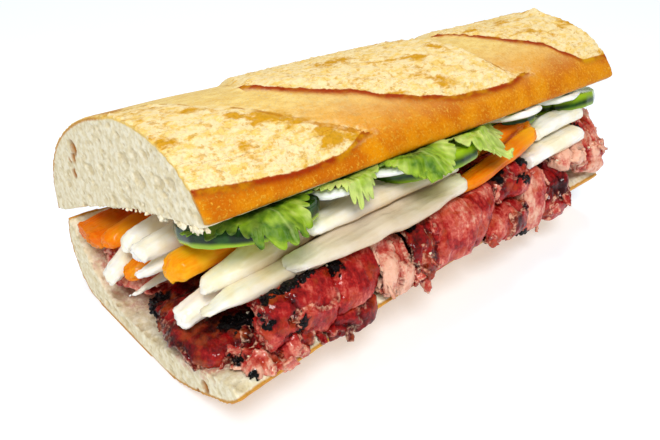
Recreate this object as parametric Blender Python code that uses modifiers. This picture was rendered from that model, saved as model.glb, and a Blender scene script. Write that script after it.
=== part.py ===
"""Half a banh mi: a short length of baguette, split along its side and opened towards the front.

The bread is two crust-and-crumb halves that meet at the back. Between them lie folded slices of
roast pork, batons of pickled daikon and carrot, cucumber slices, white onion rings and cilantro.
The sandwich lies along X, its open side faces -Y and its hinge faces +Y. Everything is modelled
with the near end at x = 0, the hinge at y = 0 and the underside at z = 0, and one empty then
carries all the pieces so that the origin is at the middle of the underside.
"""
import math

import bmesh
import bpy
from mathutils import Matrix, Vector, noise
from mathutils.bvhtree import BVHTree

MM = 0.001

# Bread, in millimetres and degrees.
LENGTH = 140.0
NEAR_WIDTH = 80.0
FAR_WIDTH = 63.0
HINGE_DRIFT = 8.3           # how far the hinge line comes forward by the far end
HINGE_HEIGHT = 20.5
TOP_OPENING = 21.2          # angle of the top half's split face above level
NEAR_CRUST = 23.4           # height of the top half's crust over its split face, near end
FAR_CRUST = 22.3
CRUST_OVERHANG = 0.525      # half axis of the crust's ellipse, as a share of the width
SPLIT_HOLLOW = 2.6          # how far the fillings press into the top half's split face
STATIONS = 22               # steps along the loaf
CRUST_STEPS = 18            # steps round the crust of one section
CRUST_SPAN = (4.0, 177.0)   # angles that the crust covers, from the hinge to the front edge
SPLIT_SHARES = (0.99, 0.85, 0.66, 0.45, 0.24, 0.06)  # points back along the split face
HINGE_GAP = 0.3

# Section of the bottom half: share of the width from the hinge, height above the table.
BOTTOM_OUTSIDE = ((0.045, 20.8), (0.030, 14.0), (0.062, 6.0), (0.130, 1.0), (0.200, 0.0),
                  (0.600, 0.0), (0.735, 1.6), (0.860, 5.7), (0.960, 9.6), (1.016, 13.4))
LIP_STARTS = 0.55           # share of the width from which the lip is lifted and drawn in
LIP_LIFT = 1.4              # how much higher the lip is halfway along
LIP_DRAWN_IN = 3.6          # how much narrower than that the lip is at the far end
LIP_DRAW_POWER = 0.7
BOTTOM_INSIDE = ((0.985, 15.2), (0.880, 13.6), (0.760, 10.4), (0.560, 6.0), (0.400, 5.4),
                 (0.280, 6.6), (0.175, 11.6), (0.095, 17.6))

# The scores: each raised pad lies between its ear, the lifted front lip, and its back edge.
# Points are the distance along the loaf and the angle round the crust, 0 at the hinge and 180
# at the front edge.
SCORES = (
    {"ear": ((-20, 163), (12, 163), (34, 164), (42, 160)),
     "back": ((-20, 96), (8, 99), (20, 112), (30, 129), (42, 156)), "rise": 0.7},
    {"ear": ((31, 114), (48, 133), (64, 153), (82, 162), (99, 158)),
     "back": ((31, 108), (38, 74), (56, 58), (80, 62), (94, 104), (99, 150)), "rise": 1.5},
    {"ear": ((106, 116), (116, 138), (124, 157), (134, 164), (160, 166)),
     "back": ((106, 108), (114, 76), (126, 62), (160, 60)), "rise": 0.9},
)
EAR_RISE = 0.9
EAR_SPREAD = 5.0            # degrees round the crust
PAD_SPREAD = 11.0
SCORE_FADE = 8.0            # length over which a score rises at either end

GAP = 0.35                  # clearance that touching pieces keep
LIGHTER = (0.4, 0.5, 0.6, 0.7, 0.8)     # shares of its faces that a cut piece is thinned to
FEWEST_FACES = 120
MERGED_EDGES = (0.16, 0.08, 0.02, 0.0)  # edges shorter than this are merged after a cut


def srgb(red, green, blue):
    """Linear colour of a colour given in 0 to 255 steps."""
    def linear(value):
        value /= 255.0
        return value / 12.92 if value <= 0.04045 else ((value + 0.055) / 1.055) ** 2.4
    return (linear(red), linear(green), linear(blue), 1.0)


FINISHES = {
    "crust": (srgb(222, 160, 72), 0.55),
    "crumb": (srgb(222, 206, 170), 0.85),
    "pork": (srgb(158, 58, 48), 0.35),
    "daikon": (srgb(236, 230, 208), 0.30),
    "carrot": (srgb(240, 132, 26), 0.35),
    "cucumber": (srgb(120, 156, 62), 0.25),
    "onion": (srgb(242, 244, 240), 0.25),
    "cilantro": (srgb(96, 150, 40), 0.45),
}

# Batons: tip, heading and pitch in degrees on the way in, length, width, thickness, how much of
# the end is pointed, and sideways bend.
DAIKON = (
    ((0.5, -39.0, 29.0), 8, 8, 44, 6.0, 5.5, 0.35, 3.0),
    ((-2.5, -32.5, 18.6), 16, 16, 44, 6.4, 6.0, 0.30, -2.0),
    ((-1.5, -48.6, 32.0), 4, 5, 48, 6.8, 5.0, 0.25, 2.0),
    ((-2.0, -46.0, 26.4), 3, 4, 52, 6.4, 4.8, 0.60, 0.0),
    ((0.5, -41.5, 17.0), 6, 10, 46, 4.4, 4.0, 0.70, 0.0),
    ((3.0, -66.3, 31.4), 3, 6, 40, 7.4, 5.0, 0.45, 1.0),
    ((-0.5, -62.5, 22.0), 7, 11, 46, 6.6, 6.2, 0.25, -1.0),
    ((1.5, -70.0, 27.4), 2, 7, 46, 8.6, 4.2, 0.75, -3.0),
    ((20.0, -74.5, 33.6), 1, 2, 52, 9.2, 4.2, 0.40, 2.0),
    ((27.0, -69.5, 38.4), 1, 0, 46, 7.6, 4.2, 0.30, 0.0),
    ((101.0, -69.5, 31.6), 2, 2, 28, 8.0, 4.6, 0.20, 0.0),
    ((106.0, -66.5, 36.8), 2, 0, 24, 7.6, 4.4, 0.20, 0.0),
    ((99.0, -61.5, 32.6), 2, 2, 28, 6.4, 5.0, 0.30, 0.0),
)
CARROT = (
    ((1.0, -18.5, 22.6), 3, 1, 60, 12.0, 4.6, 0.10, 0.0),
    ((0.0, -26.5, 24.4), 5, 5, 50, 6.4, 5.2, 0.20, 1.0),
    ((0.5, -37.0, 20.6), 8, 8, 44, 6.4, 4.6, 0.15, 0.0),
    ((0.0, -58.0, 33.2), 2, 3, 44, 9.0, 5.6, 0.15, 0.0),
    ((66.0, -72.5, 32.0), 2, 9, 38, 6.6, 4.6, 0.35, 2.0),
    ((86.0, -64.5, 37.4), 1, 1, 20, 6.0, 4.2, 0.20, 0.0),
)
BATON_CELLS = 3
BATON_BEVEL = 0.28          # of the smaller side
BATON_POINT = 0.22          # share of the length over which the near end narrows
BATON_DROOP = 1.4           # how far the free near end hangs below the stick's line

# Cucumber slices: centre, tilt about X and Y, radius, thickness.
CUCUMBER = (
    ((18.0, -61.5, 41.0), 15, 0, 15.5, 3.2),
    ((66.5, -60.5, 40.2), 16, -2, 17.5, 3.0),
    ((104.5, -55.5, 37.8), 17, 0, 11.0, 3.0),
    ((128.0, -56.0, 37.0), 17, 2, 12.5, 3.0),
)
SLICE_SIDES = 18

# Onion rings: centre, tilt about X, outer radius, wall, height.
ONION = (
    ((36.0, -67.0, 43.8), 16, 8.5, 3.2, 2.4),
    ((54.0, -67.0, 44.0), 16, 10.5, 3.2, 2.4),
    ((99.0, -64.5, 43.2), 19, 8.5, 3.0, 2.2),
    ((120.0, -62.0, 41.6), 17, 8.0, 2.8, 2.2),
)
RING_STEPS = 14
RING_SIDES = 6

# Leaves: centre, reach along and across the loaf, turn in degrees.
CILANTRO = (
    ((15.0, -71.0), (15.0, 10.0), -8),
    ((36.5, -75.0), (9.5, 7.0), 10),
    ((55.0, -75.0), (12.0, 7.6), -6),
    ((76.0, -73.0), (14.5, 8.0), 5),
)
LEAF_THICKNESS = 0.9
LEAF_LIFT = 1.15            # height of the leaf's middle over what it lies on
LEAF_FEEL = 2.0             # how far round a point the leaf lies clear of what is under it
LEAF_HANG = 38.0            # height that a leaf's free edge hangs down to
LEAF_POINTS = 24
LEAF_DROP_FROM = 80.0       # height over everything, from which a leaf is laid
LEAF_ROOF_FROM = 30.0       # height under the top half, from which its split face is looked for
LEAF_SOFTENING = 4          # rounds of evening out
LEAF_SAG = 0.3              # how far below its neighbours' mean a point may lie in each round

# Pork: middle along the loaf, lean, half width, path from the inner end over the crest to the
# front end as (y, z) points, thickness, and cells along and across the cage.
PORK = (
    (15.5, 0.0, 19.5, ((-34, 12.0), (-57, 15.5), (-74, 16.0)), 7.5, (3, 2)),
    (9.0, 1.5, 6.5, ((-66, 17.0), (-77, 17.5), (-81, 14.0)), 3.6, (3, 2)),
    (17.0, -1.0, 7.5, ((-66, 18.0), (-77, 21.0), (-80, 15.0)), 4.8, (3, 2)),
    (21.0, -3.0, 12.0, ((-52, 24.0), (-74, 30.5), (-79, 17.0)), 5.6, (3, 3)),
    (35.0, -2.5, 9.0, ((-50, 23.0), (-75, 29.5), (-79, 19.5)), 6.0, (3, 2)),
    (32.0, -1.0, 10.0, ((-62, 16.0), (-76, 20.0), (-80, 14.5)), 5.0, (3, 2)),
    (46.0, -1.0, 7.0, ((-52, 24.0), (-75, 30.0), (-78, 17.0)), 5.6, (3, 2)),
    (54.5, -1.5, 7.5, ((-48, 24.0), (-75, 31.0), (-79, 16.5)), 5.8, (3, 2)),
    (70.0, -5.0, 14.5, ((-48, 24.0), (-74, 32.0), (-78, 16.5)), 6.0, (3, 3)),
    (88.0, 0.0, 13.0, ((-44, 26.0), (-68, 33.5), (-75, 26.0)), 6.0, (3, 2)),
    (87.5, -2.0, 10.0, ((-54, 17.0), (-74, 23.5), (-77, 15.5)), 5.6, (3, 2)),
    (101.5, -1.0, 6.5, ((-54, 23.0), (-72, 28.0), (-73, 9.0)), 6.0, (3, 2)),
    (112.0, -1.0, 7.5, ((-50, 20.0), (-70, 25.0), (-72, 10.0)), 6.4, (3, 2)),
    (120.0, 0.0, 8.5, ((-42, 24.0), (-67, 30.0), (-72, 24.0)), 5.6, (3, 2)),
    (131.5, 0.0, 9.0, ((-40, 22.0), (-63, 32.0), (-71, 17.5)), 7.5, (3, 2)),
    (20.0, 0.0, 21.5, ((-11, 18.0), (-24, 12.0), (-40, 11.5)), 9.5, (2, 2)),
    (58.0, 0.0, 25.0, ((-12, 18.0), (-28, 10.0), (-72, 18.5)), 11.0, (3, 2)),
    (101.0, 0.0, 23.0, ((-14, 18.0), (-28, 10.0), (-67, 18.5)), 11.0, (3, 2)),
    (130.5, 0.0, 10.5, ((-16, 18.0), (-26, 11.0), (-64, 14.5)), 9.5, (3, 2)),
)
WOBBLE_SHIFTS = (0.3, 71.7, 143.1)      # keeps a wobble's three values independent


def clear_scene():
    for obj in list(bpy.data.objects):
        bpy.data.objects.remove(obj, do_unlink=True)


def make_collection(name):
    collection = bpy.data.collections.new(name)
    bpy.context.scene.collection.children.link(collection)
    return collection


def make_material(name):
    colour, roughness = FINISHES[name]
    material = bpy.data.materials.new(name)
    material.use_nodes = True
    shader = material.node_tree.nodes["Principled BSDF"]
    shader.inputs["Base Color"].default_value = colour
    shader.inputs["Roughness"].default_value = roughness
    shader.inputs["Metallic"].default_value = 0.0
    return material


def mesh_object(name, bm, collection, material):
    """Object of a bmesh that is in millimetres."""
    bmesh.ops.scale(bm, vec=(MM, MM, MM), verts=bm.verts)
    mesh = bpy.data.meshes.new(name)
    bm.to_mesh(mesh)
    bm.free()
    mesh.materials.append(material)
    obj = bpy.data.objects.new(name, mesh)
    collection.objects.link(obj)
    return obj


def lerp(start, end, share):
    return start + (end - start) * share


def smoothstep(low, high, value):
    share = min(max((value - low) / (high - low), 0.0), 1.0)
    return share * share * (3.0 - 2.0 * share)


def curve_value(points, x):
    """Value at x of the smooth curve through (x, value) points."""
    if x <= points[0][0]:
        return points[0][1]
    for (x0, v0), (x1, v1) in zip(points, points[1:]):
        if x <= x1:
            return lerp(v0, v1, smoothstep(x0, x1, x) * 0.5 + (x - x0) / (x1 - x0) * 0.5)
    return points[-1][1]


def rounded_path(points, steps):
    """Points along a Catmull-Rom curve through the given points, ends included."""
    ends = [points[0], *points, points[-1]]
    path = []
    for before, start, end, after in zip(ends, ends[1:], ends[2:], ends[3:]):
        before, start, end, after = Vector(before), Vector(start), Vector(end), Vector(after)
        for step in range(steps):
            t = step / steps
            path.append(0.5 * ((2 * start) + (end - before) * t
                               + (2 * before - 5 * start + 4 * end - after) * t * t
                               + (3 * start - before - 3 * end + after) * t ** 3))
    path.append(Vector(points[-1]))
    return path


def loaf_width(x):
    return lerp(NEAR_WIDTH, FAR_WIDTH, x / LENGTH)


def hinge_y(x):
    return -HINGE_DRIFT * x / LENGTH


def score_relief(x, angle):
    """How far the scored crust stands out from the plain ellipse."""
    relief = 0.0
    for score in SCORES:
        start, end = score["ear"][0][0], score["ear"][-1][0]
        if not start <= x <= end:
            continue
        ear = curve_value(score["ear"], x)
        back = curve_value(score["back"], x)
        fade = (smoothstep(start, start + SCORE_FADE, x)
                * (1.0 - smoothstep(end - SCORE_FADE, end, x)))
        pad = smoothstep(0.0, PAD_SPREAD, ear - angle) * smoothstep(0.0, PAD_SPREAD, angle - back)
        lip = math.exp(-((ear - EAR_SPREAD * 0.6 - angle) / EAR_SPREAD) ** 2)
        relief += fade * (score["rise"] * pad + EAR_RISE * lip)
    return relief


def top_section(x):
    """Points of the top half's section: round the crust from the hinge, then back inside."""
    along = Vector((-math.cos(math.radians(TOP_OPENING)), math.sin(math.radians(TOP_OPENING))))
    up = Vector((along.y, -along.x))
    hinge = Vector((hinge_y(x), HINGE_HEIGHT + HINGE_GAP))
    width = loaf_width(x)
    crust = lerp(NEAR_CRUST, FAR_CRUST, x / LENGTH)
    points = []
    for step in range(CRUST_STEPS + 1):
        angle = lerp(*CRUST_SPAN, step / CRUST_STEPS)
        turn = math.radians(angle)
        height = (crust + score_relief(x, angle)) * math.sin(turn)
        reach = width * (0.5 - CRUST_OVERHANG * math.cos(turn))
        points.append(hinge + along * reach + up * height)
    for share in SPLIT_SHARES:
        hollow = SPLIT_HOLLOW * math.sin(math.pi * share)
        points.append(hinge + along * width * share + up * hollow)
    return points


def bottom_section(x):
    """Points of the bottom half's section: outside from the hinge to the lip, then back inside."""
    width = loaf_width(x)
    lip_lift = LIP_LIFT * math.sin(math.pi * x / LENGTH)
    points = []
    outline = rounded_path(BOTTOM_OUTSIDE, 2) + rounded_path(BOTTOM_INSIDE, 1)
    for share, height in outline:
        front = smoothstep(LIP_STARTS, 1.0, share)
        drawn_in = LIP_DRAWN_IN * front * (x / LENGTH) ** LIP_DRAW_POWER
        points.append(Vector((hinge_y(x) - width * share + drawn_in,
                              max(height, 0.0) + lip_lift * front)))
    return points


def skin(outlines, wraps):
    """Closed skin over outlines in order, which either meet again or are capped at the ends."""
    bm = bmesh.new()
    rings = [[bm.verts.new(point) for point in outline] for outline in outlines]
    for ring, following in zip(rings, rings[1:] + rings[:1] if wraps else rings[1:]):
        count = len(ring)
        for index in range(count):
            beside = (index + 1) % count
            bm.faces.new((ring[index], following[index], following[beside], ring[beside]))
    if not wraps:
        bm.faces.new(rings[0])
        bm.faces.new(list(reversed(rings[-1])))
    bmesh.ops.recalc_face_normals(bm, faces=bm.faces)
    return bm


def loft(section):
    """The loaf's skin: one section for each station along it."""
    places = [LENGTH * station / STATIONS for station in range(STATIONS + 1)]
    return skin([[(x, y, z) for y, z in section(x)] for x in places], False)


def baton(tip, heading, pitch, length, width, thickness, point, bend):
    """Square-cut stick with rounded edges that narrows towards its near end."""
    bm = bmesh.new()
    bmesh.ops.create_cube(bm, size=1.0)
    bmesh.ops.translate(bm, vec=(0.5, 0.0, 0.0), verts=bm.verts)
    for cell in range(1, BATON_CELLS):
        bmesh.ops.bisect_plane(bm, geom=bm.verts[:] + bm.edges[:] + bm.faces[:],
                               plane_co=(cell / BATON_CELLS, 0, 0), plane_no=(1, 0, 0))
    bmesh.ops.scale(bm, vec=(length, width, thickness), verts=bm.verts)
    long_edges = [edge for edge in bm.edges
                  if abs((edge.verts[0].co - edge.verts[1].co).x) > 0.5 * length / BATON_CELLS]
    bmesh.ops.bevel(bm, geom=long_edges, offset=min(width, thickness) * BATON_BEVEL, segments=1,
                    profile=0.5, affect="EDGES", material=-1)
    for vert in bm.verts:
        share = vert.co.x / length
        narrow = 1.0 - point * (1.0 - smoothstep(0.0, BATON_POINT, share))
        vert.co.y = vert.co.y * narrow + bend * (share - 0.5) ** 2 * 4.0
        vert.co.z = vert.co.z * narrow - BATON_DROOP * (1.0 - min(share / 0.5, 1.0)) ** 2
    turn = (Matrix.Rotation(math.radians(heading), 4, "Z")
            @ Matrix.Rotation(-math.radians(pitch), 4, "Y"))
    bmesh.ops.transform(bm, matrix=Matrix.Translation(tip) @ turn, verts=bm.verts)
    return bm


def cucumber_slice(centre, tilt, roll, radius, thickness):
    bm = bmesh.new()
    bmesh.ops.create_cone(bm, cap_ends=True, segments=SLICE_SIDES, radius1=radius,
                          radius2=radius, depth=thickness)
    turn = (Matrix.Rotation(-math.radians(tilt), 4, "X")
            @ Matrix.Rotation(math.radians(roll), 4, "Y"))
    bmesh.ops.transform(bm, matrix=Matrix.Translation(centre) @ turn, verts=bm.verts)
    return bm


def onion_ring(centre, tilt, radius, wall, height):
    """Flat ring: a rounded profile carried once round its own axis."""
    outlines = []
    for step in range(RING_STEPS):
        around = math.tau * step / RING_STEPS
        outline = []
        for side in range(RING_SIDES):
            turn = math.tau * side / RING_SIDES
            reach = radius - wall / 2 + wall / 2 * math.cos(turn)
            outline.append((reach * math.cos(around), reach * math.sin(around),
                            height / 2 * math.sin(turn)))
        outlines.append(outline)
    bm = skin(outlines, True)
    turn = Matrix.Rotation(-math.radians(tilt), 4, "X")
    bmesh.ops.transform(bm, matrix=Matrix.Translation(centre) @ turn, verts=bm.verts)
    return bm


def wobble_at(place):
    """Three values from -1 to 1 that change smoothly with the place."""
    return Vector([noise.noise(place + Vector((0.0, 0.0, shift))) for shift in WOBBLE_SHIFTS])


def pork_path(path, share):
    """Point of the slice's middle line: a quadratic curve from the inner end to the front end."""
    inner, crest, front = (Vector(point) for point in path)
    bend = crest * 2.0 - (inner + front) * 0.5
    return inner * (1 - share) ** 2 + bend * 2 * share * (1 - share) + front * share ** 2


def pork_sheet(middle, lean, half_width, path, cells, seed):
    """Uneven sheet that runs over the path; it is given its thickness afterwards."""
    bm = bmesh.new()
    bmesh.ops.create_grid(bm, x_segments=cells[0], y_segments=cells[1], size=1.0)
    for vert in bm.verts:
        share, side = (vert.co.x + 1.0) / 2.0, vert.co.y
        here = pork_path(path, share)
        wobble = wobble_at(Vector((share * 2.3, side * 1.1, seed * 3.7)))
        taper = 1.0 - 0.22 * abs(2.0 * share - 1.0) ** 3 + 0.18 * wobble.x
        x = middle + lean * (2.0 * share - 1.0) + half_width * side * taper
        sag = 1.6 * side * side
        vert.co = Vector((x, here.x + 2.0 * wobble.y + 0.5 * sag, here.y + 1.6 * wobble.z - sag))
    bmesh.ops.recalc_face_normals(bm, faces=bm.faces)
    return bm


def leaf_outline(turn):
    """Reach of a lobed leaf at an angle from its stem, 1 at the tips."""
    lobes = abs(math.cos(2.5 * turn)) ** 0.7
    teeth = abs(math.cos(7.5 * turn))
    return 0.50 + 0.34 * lobes + 0.16 * teeth


def leaf_sheet(centre, reach, turn):
    """Flat leaf of two rings, to be laid over what is under it."""
    bm = bmesh.new()
    bmesh.ops.create_circle(bm, cap_ends=True, cap_tris=True, segments=LEAF_POINTS, radius=1.0)
    for vert in bm.verts:
        if vert.co.length > 0.5:
            vert.co *= leaf_outline(math.atan2(vert.co.y, vert.co.x))
    bmesh.ops.scale(bm, vec=(reach[0], reach[1], 1.0), verts=bm.verts)
    spokes = [edge for edge in bm.edges if not edge.is_boundary]
    bmesh.ops.subdivide_edges(bm, edges=spokes, cuts=1)
    move = (Matrix.Translation((centre[0], centre[1], 0.0))
            @ Matrix.Rotation(math.radians(turn), 4, "Z"))
    bmesh.ops.transform(bm, matrix=move, verts=bm.verts)
    return bm


def evaluated_mesh(obj):
    bpy.context.view_layer.update()
    depsgraph = bpy.context.evaluated_depsgraph_get()
    return bpy.data.meshes.new_from_object(obj.evaluated_get(depsgraph))


def grown_cutter(obj, collection):
    """Copy of a piece that is larger by the gap all round, to cut its neighbours with."""
    mesh = evaluated_mesh(obj)
    bm = bmesh.new()
    bm.from_mesh(mesh)
    bmesh.ops.triangulate(bm, faces=bm.faces)
    bm.normal_update()
    shifts = [(vert, vert.normal * GAP * MM) for vert in bm.verts]
    for vert, shift in shifts:
        vert.co += shift
    bm.to_mesh(mesh)
    bm.free()
    cutter = bpy.data.objects.new("cut_" + obj.name, mesh)
    cutter.hide_render = True
    cutter.display_type = "WIRE"
    collection.objects.link(cutter)
    return cutter


def tree_of(mesh):
    return BVHTree.FromPolygons([vert.co for vert in mesh.vertices],
                                [tuple(face.vertices) for face in mesh.polygons])


def largest_body(bm):
    """Deletes every loose body but the one with the most volume."""
    unseen = set(bm.verts)
    bodies = []
    for first in bm.verts:
        if first not in unseen:
            continue
        unseen.discard(first)
        stack = [first]
        body = set(stack)
        while stack:
            for edge in stack.pop().link_edges:
                for vert in edge.verts:
                    if vert in unseen:
                        unseen.discard(vert)
                        body.add(vert)
                        stack.append(vert)
        bodies.append(body)

    def size(body):
        low = [min(vert.co[axis] for vert in body) for axis in range(3)]
        high = [max(vert.co[axis] for vert in body) for axis in range(3)]
        return math.prod(high[axis] - low[axis] for axis in range(3))

    bodies.sort(key=size, reverse=True)
    for body in bodies[1:]:
        bmesh.ops.delete(bm, geom=list(body), context="VERTS")


def tidied(mesh, shortest, limits):
    """The mesh's largest body with edges below the given length merged, or None if that leaves it
    open or makes it cross one of the surfaces that it must stay clear of."""
    bm = bmesh.new()
    bm.from_mesh(mesh)
    largest_body(bm)
    if shortest:
        bmesh.ops.dissolve_degenerate(bm, edges=bm.edges, dist=shortest * MM)
    bmesh.ops.triangulate(bm, faces=bm.faces)
    closed = bool(bm.faces) and all(edge.is_manifold for edge in bm.edges)
    result = mesh.copy()
    bm.to_mesh(result)
    bm.free()
    if not closed:
        return None
    tree = tree_of(result)
    return None if any(tree.overlap(limit) for limit in limits) else result


def trim(obj, cutters, limits):
    """Cuts the piece clear of the earlier pieces that reach into it, and says if it was cut."""
    own_tree = tree_of(evaluated_mesh(obj))
    for cutter in cutters:
        if own_tree.overlap(tree_of(cutter.data)):
            cut = obj.modifiers.new("clear of " + cutter.name, "BOOLEAN")
            cut.operation = "DIFFERENCE"
            cut.solver = "EXACT"
            cut.object = cutter
    if not obj.modifiers:
        return False
    mesh = evaluated_mesh(obj)
    obj.modifiers.clear()
    for shortest in MERGED_EDGES:
        result = tidied(mesh, shortest, limits)
        if result:
            obj.data = result
            return True
    raise RuntimeError(obj.name + " can't be cut clear of the pieces before it")


def lighten(obj, limits):
    """Collapses the small faces that cuts left, as far as the piece stays within its limits."""
    for ratio in LIGHTER:
        if len(obj.data.polygons) * ratio < FEWEST_FACES:
            continue
        fewer = obj.modifiers.new("fewer faces", "DECIMATE")
        fewer.ratio = ratio
        mesh = evaluated_mesh(obj)
        obj.modifiers.remove(fewer)
        result = tidied(mesh, 0.0, limits)
        if result:
            obj.data = result
            return


def lay_leaf(bm, supports, ceiling):
    """Drops a flat leaf on what is under it; past the edge of that it hangs down."""
    down = Vector((0.0, 0.0, -1.0))
    heights = {}
    roofs = {}
    for vert in bm.verts:
        start = Vector((vert.co.x, vert.co.y, LEAF_DROP_FROM)) * MM
        below = Vector((vert.co.x, vert.co.y, LEAF_ROOF_FROM)) * MM
        above = ceiling.ray_cast(below, -down)
        roofs[vert] = above[0].z / MM - LEAF_THICKNESS if above[0] else LEAF_DROP_FROM
        hits = [0.0]
        for side, front in ((0, 0), (1, 0), (-1, 0), (0, 1), (0, -1)):
            near = start + Vector((side, front, 0.0)) * LEAF_FEEL * MM
            hits += [hit[0].z for hit in (tree.ray_cast(near, down) for tree in supports) if hit[0]]
        floor = max(hits) / MM + LEAF_LIFT
        heights[vert] = max(floor, LEAF_HANG)
    for _ in range(LEAF_SOFTENING):
        smooth = {}
        for vert in bm.verts:
            near = [heights[edge.other_vert(vert)] for edge in vert.link_edges]
            smooth[vert] = max(heights[vert], sum(near) / len(near) - LEAF_SAG)
        heights = smooth
    for vert in bm.verts:
        vert.co.z = min(heights[vert], roofs[vert])


def build():
    clear_scene()
    parts = make_collection("banh_mi")
    cutters = make_collection("cutters")
    materials = {name: make_material(name) for name in FINISHES}
    grown = []
    placed = []

    def keep(name, bm, finish, thickness=0.0, levels=0):
        obj = mesh_object(name, bm, parts, materials[finish])
        if thickness:
            wall = obj.modifiers.new("thickness", "SOLIDIFY")
            wall.thickness = thickness * MM
            wall.offset = 0.0
        if levels:
            soft = obj.modifiers.new("soft", "SUBSURF")
            soft.levels = levels
            soft.render_levels = levels
        cutter = grown_cutter(obj, cutters)
        if trim(obj, grown, placed):
            lighten(obj, placed + [tree_of(cutter.data)])
        grown.append(cutter)
        placed.append(tree_of(evaluated_mesh(obj)))
        return obj

    keep("bread_bottom", loft(bottom_section), "crumb")
    top = keep("bread_top", loft(top_section), "crust")
    stiff = []
    for number, row in enumerate(DAIKON, 1):
        stiff.append(keep("daikon_%02d" % number, baton(*row), "daikon"))
    for number, row in enumerate(CARROT, 1):
        stiff.append(keep("carrot_%02d" % number, baton(*row), "carrot"))
    for number, row in enumerate(CUCUMBER, 1):
        stiff.append(keep("cucumber_%02d" % number, cucumber_slice(*row), "cucumber"))
    for number, row in enumerate(ONION, 1):
        stiff.append(keep("onion_%02d" % number, onion_ring(*row), "onion"))
    for number, (middle, lean, half_width, path, thickness, cells) in enumerate(PORK, 1):
        sheet = pork_sheet(middle, lean, half_width, path, cells, number)
        stiff.append(keep("pork_%02d" % number, sheet, "pork", thickness, 1))

    supports = [tree_of(obj.data) for obj in stiff]
    ceiling = tree_of(top.data)
    for number, row in enumerate(CILANTRO, 1):
        leaf = leaf_sheet(*row)
        lay_leaf(leaf, supports, ceiling)
        keep("cilantro_%02d" % number, leaf, "cilantro", LEAF_THICKNESS)

    base = bpy.data.objects.new("banh_mi_base", None)
    parts.objects.link(base)
    corners = [vert.co for obj in parts.objects if obj.type == "MESH" for vert in obj.data.vertices]
    low = [min(corner[axis] for corner in corners) for axis in range(3)]
    high = [max(corner[axis] for corner in corners) for axis in range(3)]
    base.location = (-(low[0] + high[0]) / 2, -(low[1] + high[1]) / 2, -low[2])
    for obj in list(parts.objects) + list(cutters.objects):
        if obj is not base:
            obj.parent = base


build()
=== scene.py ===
# The looks of half a banh mi: baked crust and open crumb, glazed pork, pickles, onion and leaves.
# Shapes are worked out in the loaf's own millimetres, with the near end at x = 0, the hinge at
# y = 0 and the table at z = 0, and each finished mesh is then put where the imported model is.
import math
import random

import bmesh
import bpy
import numpy as np
from mathutils import Matrix, Vector, noise
from mathutils.bvhtree import BVHTree
from mathutils.kdtree import KDTree


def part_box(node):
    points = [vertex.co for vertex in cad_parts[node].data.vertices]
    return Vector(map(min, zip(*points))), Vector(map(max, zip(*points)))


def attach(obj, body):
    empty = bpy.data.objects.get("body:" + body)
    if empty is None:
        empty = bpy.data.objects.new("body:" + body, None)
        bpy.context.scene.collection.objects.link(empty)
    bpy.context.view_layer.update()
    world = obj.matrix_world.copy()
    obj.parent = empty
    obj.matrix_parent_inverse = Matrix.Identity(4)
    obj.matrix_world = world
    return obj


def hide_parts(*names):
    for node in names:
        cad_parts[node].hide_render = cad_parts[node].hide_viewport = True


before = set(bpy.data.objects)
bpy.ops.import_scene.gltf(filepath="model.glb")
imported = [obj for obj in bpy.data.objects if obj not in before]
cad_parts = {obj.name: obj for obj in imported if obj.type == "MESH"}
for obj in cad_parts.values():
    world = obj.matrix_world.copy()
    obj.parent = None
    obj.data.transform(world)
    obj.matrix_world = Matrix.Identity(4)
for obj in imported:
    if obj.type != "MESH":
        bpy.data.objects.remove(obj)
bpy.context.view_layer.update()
print("packed model loaded")

mm = 0.001

# The loaf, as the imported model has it.
loaf = {
    "nearWidth": 80.0, "farWidth": 63.0,
    "hingeDrift": 8.3,          # how far the hinge line comes forward by the far end
    "hingeHeight": 20.5, "hingeGap": 0.3,
    "opening": 21.2,            # degrees that the top half's split face rises towards the front
    "nearCrust": 23.4, "farCrust": 22.3,
    "overhang": 0.525,          # half axis of the crust's ellipse, as a share of the width
    "splitHollow": 2.6,
    "lipReach": 1.016,          # how far out the lip is, as a share of the width
}
bottomLow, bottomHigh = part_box("bread_bottom")
loaf["length"] = (bottomHigh.x - bottomLow.x) / mm
loafOrigin = Vector((bottomLow.x, bottomLow.y + loaf["nearWidth"] * loaf["lipReach"] * mm, 0.0))


def lerp(start, end, share):
    return start + (end - start) * share


def smoothstep(low, high, value):
    share = min(max((value - low) / (high - low), 0.0), 1.0)
    return share * share * (3.0 - 2.0 * share)


def bellCurve(value, width):
    return math.exp(-(value / width) ** 2)


def softLeast(values, softness):
    # the least of some values, rounded where two of them meet
    least = min(values)
    return least - softness * math.log(sum(math.exp((least - value) / softness)
                                           for value in values))


def curveThrough(points, x):
    # value at x of a soft curve through (x, value) points
    if x <= points[0][0]:
        return points[0][1]
    for (x0, v0), (x1, v1) in zip(points, points[1:]):
        if x <= x1:
            return lerp(v0, v1, smoothstep(x0, x1, x) * 0.5 + (x - x0) / (x1 - x0) * 0.5)
    return points[-1][1]


def roundedPath(points, steps):
    # Catmull-Rom curve through the points, ends included
    ends = [points[0], *points, points[-1]]
    path = []
    for before, start, end, after in zip(ends, ends[1:], ends[2:], ends[3:]):
        before, start, end, after = Vector(before), Vector(start), Vector(end), Vector(after)
        for step in range(steps):
            t = step / steps
            path.append(0.5 * ((2 * start) + (end - before) * t
                               + (2 * before - 5 * start + 4 * end - after) * t * t
                               + (3 * start - before - 3 * end + after) * t ** 3))
    path.append(Vector(points[-1]))
    return path


def alongPath(path, share):
    place = min(max(share, 0.0), 1.0) * (len(path) - 1)
    index = min(int(place), len(path) - 2)
    return path[index].lerp(path[index + 1], place - index)


# Meshes -----------------------------------------------------------------------------------------

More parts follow.
